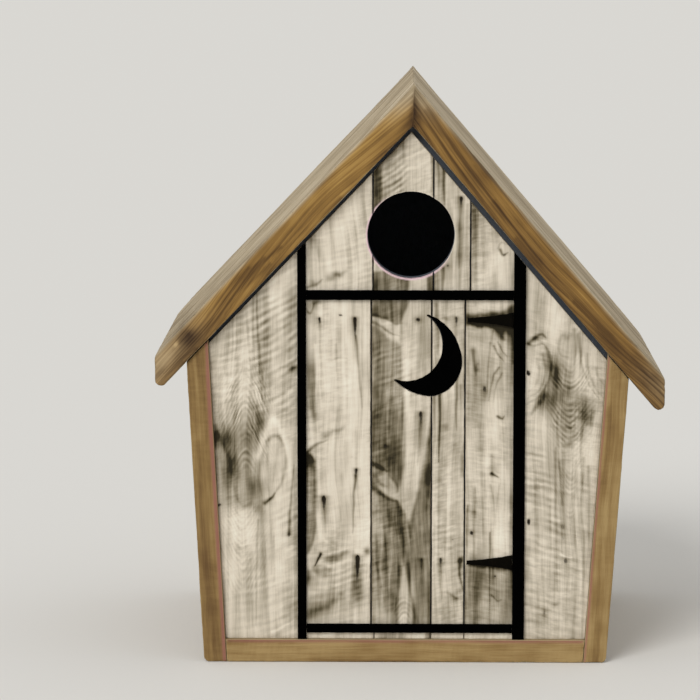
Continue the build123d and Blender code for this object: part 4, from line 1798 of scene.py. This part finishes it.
        Shade(-43, 190, 2.6, 16, 0.26), Shade(-40, 184, 2.6, 12, 0.2, 14), Shade(-26, 200, 5, 26, 0.07),
        TightSawPatch(-28, 184, 30, 50, 0.08, 12), Stroke(((-24, 196), (-23.6, 184), (-24.4, 170)), 1.6, 0.1),
        Shade(-36, 178, 12, 5, -0.1, -60),
    )),
    # Gable board that the entry hole cuts: a dark, saw-marked left part
    "gable_board_2": BoardPlan(0.32, 16.0, marks=(
        Area(((-17, 222), (-8, 230), (-3, 231), (-3.4, 218), (-3, 207), (-17, 198)), 3, 0.2),
        Area(((-17, 221), (-13, 220), (-12.4, 208), (-14, 196), (-17, 194)), 1.8, 0.3),
        Shade(-9, 228, 8, 9, 0.12), TightSawPatch(-8, 219, 13, 22, 0.34, 32),
        Spot(-6, 219.6, 4, 1.4, 0.24, -64), Spot(-6.4, 214.4, 4.4, 1.6, 0.3, -60),
        TightSawPatch(3, 222, 12, 24, 0.08, 22), Stroke(((-3, 232), (-2.6, 222), (-2.4, 212)), 1, 0.2),
        Area(((-17, 174), (-1.6, 174), (-1.6, 165), (-17, 165)), 2, 0.36), Shade(-15.6, 169, 3, 9, 0.2),
        Shade(-6, 169, 2.4, 8, -0.14), Area(((7.8, 176), (12, 176), (12, 164), (7.8, 164)), 1.4, 0.5),
        Stroke(((9.6, 226), (9.8, 216), (9.8, 206)), 1.3, 0.36),
    )),
    # Gable board right of the entry hole: one long check and a dark foot
    "gable_board_3": BoardPlan(0.34, 10.0, marks=(
        Check(22.5, 207.6, 1.8, 6, 0.9, -1), Stroke(((22.4, 204), (21.8, 192), (21.4, 176)), 1.3, 0.3),
        Spot(16.6, 177, 1.4, 1.3, 0.6), Stroke(((12.2, 222), (12.4, 214), (12.6, 206)), 1.5, 0.34),
        Stroke(((14.8, 220), (14.8, 212), (15.2, 204)), 1.6, 0.4),
        Stroke(((14.6, 176), (14.4, 165)), 1.9, 0.4),
        Area(((10, 176), (12.6, 176), (12.6, 165), (10, 165)), 1.4, 0.34), Shade(23, 186, 5, 20, 0.16),
        Stroke(((25.2, 204), (25, 186), (25.4, 168)), 1.2, 0.16),
        Stroke(((18.6, 206), (19.6, 190), (19, 168)), 1.6, -0.14),
    )),
    # Last gable board: upright grey streaks and a small knot
    "gable_board_4": BoardPlan(0.38, 8.0, marks=(
        Stroke(((39.6, 184), (41, 182.2), (43, 182.6)), 1.5, 0.46), Spot(41.4, 182.2, 2.2, 1.3, 0.4),
        Stroke(((38.6, 184.6), (40, 187), (43, 186)), 0.9, 0.2), Shade(28.4, 196, 3, 22, 0.26),
        Shade(33, 190, 3.4, 24, 0.14), Shade(36, 176, 18, 6, -0.14, 50), Shade(28.4, 174, 2.6, 16, 0.14),
        Shade(44.6, 172, 3, 18, 0.26), Shade(38, 192, 4, 12, 0.12),
    )),
    "kick_boards": BoardPlan(0.22, snug=True, marks=(Shade(-10, 11, 12, 9, 0.36), Shade(8.6, 11, 3, 9, 0.5))),
}


@dataclass
class FrontBoards:
    """The weathered boards of the front, with the marks that each one shows."""

    finish: bpy.types.Material
    slot: str = "barn_board"
    entry: EntryHole = EntryHole()
    first_seed: int = 1

    def build(self) -> None:
        """Build every front board."""
        for number, (node, plan) in enumerate(FRONT_PLANS.items(), self.first_seed):
            entry = self.entry if node.startswith("gable") else None
            Board(node, self.finish, self.slot, marks=plan.marks, tone=plan.tone, bend=plan.bend,
                  saw_lean=plan.saw_lean, seed=number, entry=entry, snug=plan.snug).build()


@dataclass
class RearBoards:
    """The upright boards of the back, weathered as the front's are."""

    finish: bpy.types.Material
    slot: str = "barn_board"
    count: int = 5
    reach: tuple[float, float] = (24.0, 140.0)
    edge_margin: float = 5.0
    arch_gap: float = 26.0
    first_seed: int = 41

    def build(self) -> None:
        """Build every rear board with marks drawn from a fixed seed."""
        for number in range(self.count):
            node, seed = f"back_board_{number + 1}", self.first_seed + number
            low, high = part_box(node)
            draw = np.random.default_rng(seed)
            marks = self._marks(draw, low.x / MM, high.x / MM)
            Board(node, self.finish, self.slot, grip=Grip.REAR, marks=marks, tone=picked(draw, 0.1, 0.24),
                  seed=seed).build()

    def _marks(self, draw: np.random.Generator, west: float, east: float) -> list[Mark]:
        """Choose knots, checks, stains and saw marks for one board.

        Args:
            draw: source of the choices.
            west: the board's west edge.
            east: its east edge.

        Returns:
            The marks.
        """
        def spot_on() -> tuple[float, float]:
            """A place on the board, clear of its edges."""
            return picked(draw, west + self.edge_margin, east - self.edge_margin), picked(draw, *self.reach)

        marks: list[Mark] = [SawPatch(*spot_on(), 26, 60, 0.18, picked(draw, -14, 16))]
        across, along = spot_on()
        marks.append(Knot(across, along, 9, 16, 0.4, picked(draw, -8, 8)))
        marks += [Arches(across, along + way * self.arch_gap, 13, 30, 0.34, way * 2.2) for way in (1, -1)]
        marks += [Check(*spot_on(), 1.4, picked(draw, 8, 26), 0.9, picked(draw, -4, 4)) for _ in range(3)]
        marks += [Shade(*spot_on(), 5, picked(draw, 14, 50), 0.3) for _ in range(4)]
        marks += [Spot(*spot_on(), 1.6, 2.0, 0.8) for _ in range(3)]
        return marks


def fine_checks(seed: int, reach: float) -> tuple[Mark, ...]:
    """Fine checks and dark streaks spread over a board's outer side.

    Args:
        seed: fixes where they lie.
        reach: how far down the board they may lie.

    Returns:
        The marks.
    """
    draw = np.random.default_rng(seed)
    made: list[Mark] = []
    for _ in range(FINE_CHECKS):
        across, along = picked(draw, *CHECKED_DEPTH), picked(draw, 20, reach)
        made.append(Check(across, along, 1.1, picked(draw, 10, 34), 0.7, picked(draw, -2, 2)))
        made.append(Shade(picked(draw, *CHECKED_DEPTH), along, 2.2, picked(draw, 30, 80), 0.2))
    return on_outer_side(*made)


# Places on the roof's front edges: the depth below the top, then the way down the slope
ROOF_PLANS = {
    # Streaks and a knot on the front edge, long stains on the outer side
    "left": BoardPlan(0.3, bend=((0, -5), (40, -1), (70, 1), (100, 0), (128, -4), (150, -7), (170, -8)),
                      marks=(
        Greyed(1.5, 2, 9, 26, 0.9), Greyed(4, 166, 16, 44, 0.5), Shade(7, 156, 12, 34, 0.1),
        Shade(6, 30, 9, 60, -0.1), Stroke(((10.6, 10), (8.4, 34), (6, 60), (5.6, 84)), 1.3, 0.14),
        Stroke(((11.6, 30), (9.4, 56), (7.6, 84), (8, 104)), 1.2, 0.16),
        Stroke(((7.4, 8), (5, 30), (3.6, 56)), 1.1, 0.12), Stroke(((10.8, 58), (9.6, 78), (9, 98)), 1.3, 0.2),
        Stroke(((7, 92), (6, 104), (7, 120), (9.6, 138), (11.4, 150)), 1.6, 0.26),
        Stroke(((5, 100), (4.4, 112), (5.4, 126), (8.4, 142)), 1.3, 0.2),
        Stroke(((3.2, 108), (3, 122), (4.4, 136)), 1.2, 0.16),
        Stroke(((8.8, 100), (8.4, 114), (9.8, 130)), 1.2, 0.2), Shade(7, 104, 6, 40, 0.1),
        Shade(4, 149.6, 7, 9, 0.42), Shade(6.6, 147.6, 8, 9, 0.24), Shade(3.6, 154.6, 2, 2.6, -0.5),
        Stroke(((11, 150), (9.4, 158), (8.4, 168)), 1.6, 0.24), Shade(5, 163, 7, 9, -0.16),
        Stroke(((11, 158), (10, 166), (9.6, 172)), 1.1, 0.16), Shade(11.6, 100, 2.4, 130, 0.12),
        Shade(11.4, 14, 5, 8, 0.24), Stroke(((12, 13), (6, 6.6), (1.5, 1)), 3.4, 0.36),
    ) + on_outer_side(
        Shade(-66, 32, 16, 20, 0.36), Shade(-56, 46, 16, 20, 0.3), Shade(0, 85, 400, 400, 0.04),
        Shade(-8, 100, 12, 120, 0.1), Shade(30, 80, 9, 130, -0.1), Shade(62, 90, 12, 150, 0.1),
        Shade(-76, 150, 14, 22, 0.22), Knot(34, 112, 9, 16, 0.35), Check(52, 60, 1.6, 40, 0.8, 2),
    ) + fine_checks(64, 150)),
    # A dark streak all the way down the front edge, and pale chips at the ridge on the outer side; the outer
    # side is painted paler to make up for the key light from the left, with a painted highlight along its rear
    # edge
    "right": BoardPlan(0.48, bend=((0, 4), (50, 0), (100, -2), (140, 2), (170, 6)), marks=(
        Greyed(1.5, 2, 9, 26, 0.9), Greyed(4, 172, 12, 26, 0.35),
        Stroke(((3.6, 12), (5.4, 40), (7.4, 70), (8.2, 96)), 1.8, 0.2),
        Stroke(((7, 12), (8.6, 34), (10.6, 58)), 1.4, 0.18), Stroke(((9.6, 14), (11, 30)), 1.3, 0.22),
        Stroke(((3, 44), (4, 68), (4.8, 90)), 1.2, 0.12),
        Stroke(((6.6, 62), (7.8, 84), (7.8, 108), (6.4, 136), (5, 160), (4.6, 172)), 2.2, 0.26),
        Stroke(((10, 80), (9.8, 108), (8.2, 134)), 1.6, 0.2),
        Stroke(((8.6, 118), (8, 138), (6.8, 158)), 1.5, 0.2), Shade(9.6, 150, 4, 30, 0.12),
        Shade(7, 9, 6, 12, 0.3, -30), Shade(3, 62, 3, 60, -0.14), Shade(3, 110, 3, 40, -0.1),
        Shade(5, 160, 5, 16, 0.14), Shade(2.6, 167, 3, 6, 0.16),
        Stroke(((9.6, 152), (8.6, 164), (7.4, 172)), 1.4, 0.18), Shade(11.6, 90, 2.4, 150, 0.14),
        Stroke(((12, 13), (6, 6.6), (1.5, 1)), 3.4, 0.3),
    ) + on_outer_side(
        # Painted light: Shade(0, 85, ...) pales the whole outer side against the key light from the left, and
        # Shade(76, 70, ...) is a painted highlight along the rear edge
        Shade(-74, 80, 18, 150, -0.06), Shade(0, 85, 400, 400, -0.3), Shade(4, 85, 70, 300, 0.13),
        Stroke(((79, 6), (80.6, 10), (80, 15)), 5, -0.7), Stroke(((79, 18), (80.4, 20), (80, 23)), 4, -0.7),
        Stroke(((79.4, 25), (80, 28)), 3.4, -0.6), Shade(76, 70, 14, 150, -0.16),
        Shade(-30, 90, 10, 110, 0.1), Check(-10, 40, 1.6, 40, 0.8), Shade(10, 80, 16, 150, 0.1),
        Knot(30, 66, 8, 15, 0.35), Shade(50, 110, 8, 90, 0.12),
    ) + fine_checks(65, 150)),
}


@dataclass
class Roof:
    """The two roof boards, golden on their front edges and grey on top."""

    finish: bpy.types.Material
    slot: str = "roof_cedar"
    corner_round: float = 20.0
    ridge_x: float = 1.4
    grey_arris: float = 1.9
    first_seed: int = 60

    def build(self) -> None:
        """Build both roof boards, which meet in a mitre at the ridge."""
        for number, (name, plan) in enumerate(ROOF_PLANS.items(), self.first_seed):
            Board(f"roof_board_{name}", self.finish, self.slot, outward=OUTWARD[name], grip=Grip.BLOCK,
                  ease=0.45, both_ends=True, marks=plan.marks, tone=plan.tone, groove=0.2, wear=0.5,
                  seed=number, bend=plan.bend, grey_arris=self.grey_arris, plan_round=self.corner_round,
                  mitre=self.ridge_x).build()


@dataclass
class Walls:
    """The two leaning side walls and the base board between them."""

    finish: bpy.types.Material
    slot: str = "cedar"
    blotch: float = 0.14
    first_seed: int = 70
    base_seed: int = 74

    def build(self) -> None:
        """Build both walls and the base."""
        left = (Shade(5, 24, 5, 50, -0.12), Shade(3, 70, 1.6, 90, 0.2), Shade(6, 128, 8, 70, 0.2))
        left += on_outer_side(Knot(40, 60, 9, 15, 0.5), Check(-30, 90, 1.6, 34, 0.8, 1),
                              Shade(10, 80, 14, 100, 0.14))
        right = (Shade(5, 70, 7, 70, -0.12), Shade(7, 30, 2, 50, 0.18), Shade(4, 128, 1.6, 60, 0.2))
        right += on_outer_side(Knot(-36, 88, 9, 15, 0.5), Check(24, 50, 1.6, 34, 0.8, 1),
                               Shade(-10, 80, 14, 100, 0.14))
        walls = (("left", left, 0.34, 1.7), ("right", right, 0.2, 0.9))
        for number, (name, marks, tone, blush) in enumerate(walls, self.first_seed):
            Board(f"side_wall_{name}", self.finish, self.slot, outward=OUTWARD[name], grip=Grip.BLOCK,
                  ease=0.6, both_ends=True, marks=marks + fine_checks(number, 130), tone=tone,
                  blotch=self.blotch, seed=number, inner_blush=blush).build()
        Board("floor_board", self.finish, self.slot, outward=OUTWARD["left"], grip=Grip.HIDDEN, ease=0.5,
              both_ends=True, tone=0.22, blotch=self.blotch, seed=self.base_seed, inner_blush=0.8).build()


@dataclass
class Trim:
    """Painted strips round the door, the moon let into it and its two strap hinges."""

    paint: bpy.types.Material
    iron: bpy.types.Material
    painted: tuple[str, ...] = ("jamb_strip_left", "jamb_strip_right", "head_strip", "sill_strip",
                                "moon_inlay")
    hinges: tuple[str, ...] = ("hinge_strap_upper", "hinge_strap_lower")
    paint_seed: int = 80
    iron_seed: int = 90

    def build(self) -> None:
        """Build the strips, the moon and the hinges."""
        for seed, node in enumerate(self.painted, self.paint_seed):
            Board(node, self.paint, "black_paint", grip=Grip.TRIM, ease=0.3, blotch=0.0, groove=0.05,
                  crack=0.0, wear=0.12, seed=seed).build()
        for seed, node in enumerate(self.hinges, self.iron_seed):
            Board(node, self.iron, "dark_iron", grip=Grip.TRIM, ease=0.3, blotch=0.0, groove=0.1,
                  crack=0.0, wear=0.3, seed=seed).build()


@dataclass
class Stage:
    """Pale floor, soft lights and the camera at the photograph's angle."""

    floor_half: float = 24.0
    floor_colour: Colour = (226, 224, 219)
    ambient: float = 0.62
    key_strength: float = 1.5
    key_from: tuple[float, float, float] = (-0.45, -0.85, 0.75)
    key_softness_deg: float = 26.0
    camera_place_mm: tuple[float, float, float] = (-3.59, -1565.0, 337.35)
    pitch_deg: float = 7.566
    yaw_deg: float = 0.873
    lens_mm: float = 175.4

    def build(self) -> None:
        """Build the floor, the world, the key light and the camera."""
        self._floor()
        self._world()
        self._key()
        self._camera()

    def _floor(self) -> None:
        """A wide flat floor at the ground."""
        half = self.floor_half
        mesh = bpy.data.meshes.new("floor")
        corners = [(-half, -half, 0), (half, -half, 0), (half, half, 0), (-half, half, 0)]
        mesh.from_pydata(corners, [], [(0, 1, 2, 3)])
        floor = bpy.data.objects.new("floor", mesh)
        bpy.context.scene.collection.objects.link(floor)
        material, wiring, shader = Surface.start("studio_floor")
        wiring.feed(shader["Base Color"], linear(self.floor_colour))
        wiring.feed(shader["Roughness"], 0.95)
        wiring.feed(shader["Specular IOR Level"], 0.0)
        mesh.materials.append(material)

    def _world(self) -> None:
        """Even light from all round, shown to the camera as white."""
        world = bpy.data.worlds.new("studio")
        bpy.context.scene.world = world
        world.use_nodes = True
        wiring = Wiring(world.node_tree)
        rays = wiring.add("ShaderNodeLightPath").outputs
        shown = wiring.math("MAXIMUM", rays["Is Camera Ray"],
                            wiring.math("MAXIMUM", rays["Is Glossy Ray"], rays["Is Transmission Ray"]))
        background = world.node_tree.nodes["Background"]
        background.inputs["Color"].default_value = (1.0, 1.0, 1.0, 1.0)
        wiring.feed(background.inputs["Strength"], wiring.ranged(shown, 0.0, 1.0, self.ambient, 1.0))

    def _key(self) -> None:
        """A soft sun from the upper left front."""
        light = bpy.data.lights.new("key", "SUN")
        light.energy = self.key_strength
        light.angle = math.radians(self.key_softness_deg)
        key = bpy.data.objects.new("key", light)
        key.rotation_euler = Vector(self.key_from).to_track_quat("Z", "Y").to_euler()
        bpy.context.scene.collection.objects.link(key)

    def _camera(self) -> None:
        """The camera, placed as the photograph's was."""
        data = bpy.data.cameras.new("camera")
        data.lens = self.lens_mm
        camera = bpy.data.objects.new("camera", data)
        camera.location = Vector(self.camera_place_mm) * MM
        camera.rotation_euler = Euler((math.radians(90 - self.pitch_deg), 0, math.radians(self.yaw_deg)))
        bpy.context.scene.collection.objects.link(camera)
        bpy.context.scene.camera = camera


def main() -> None:
    """Build every sub-assembly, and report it."""
    logging.basicConfig(level=logging.INFO, format="%(name)s %(message)s")
    bpy.context.scene.view_settings.view_transform = "Standard"
    barn = BARN_BOARD.material(EFFECTS)
    FrontBoards(barn).build()
    RearBoards(barn).build()
    Roof(ROOF_CEDAR.material(EFFECTS)).build()
    Walls(CEDAR.material(EFFECTS)).build()
    Trim(BLACK_PAINT.material(EFFECTS), DARK_IRON.material(EFFECTS)).build()
    backing = BACKING.material(EFFECTS)
    for node in ("front_panel", "back_panel"):
        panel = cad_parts[node].data
        panel.materials.clear()
        panel.materials.append(backing)
    Stage().build()


if __name__ == "__main__":
    main()
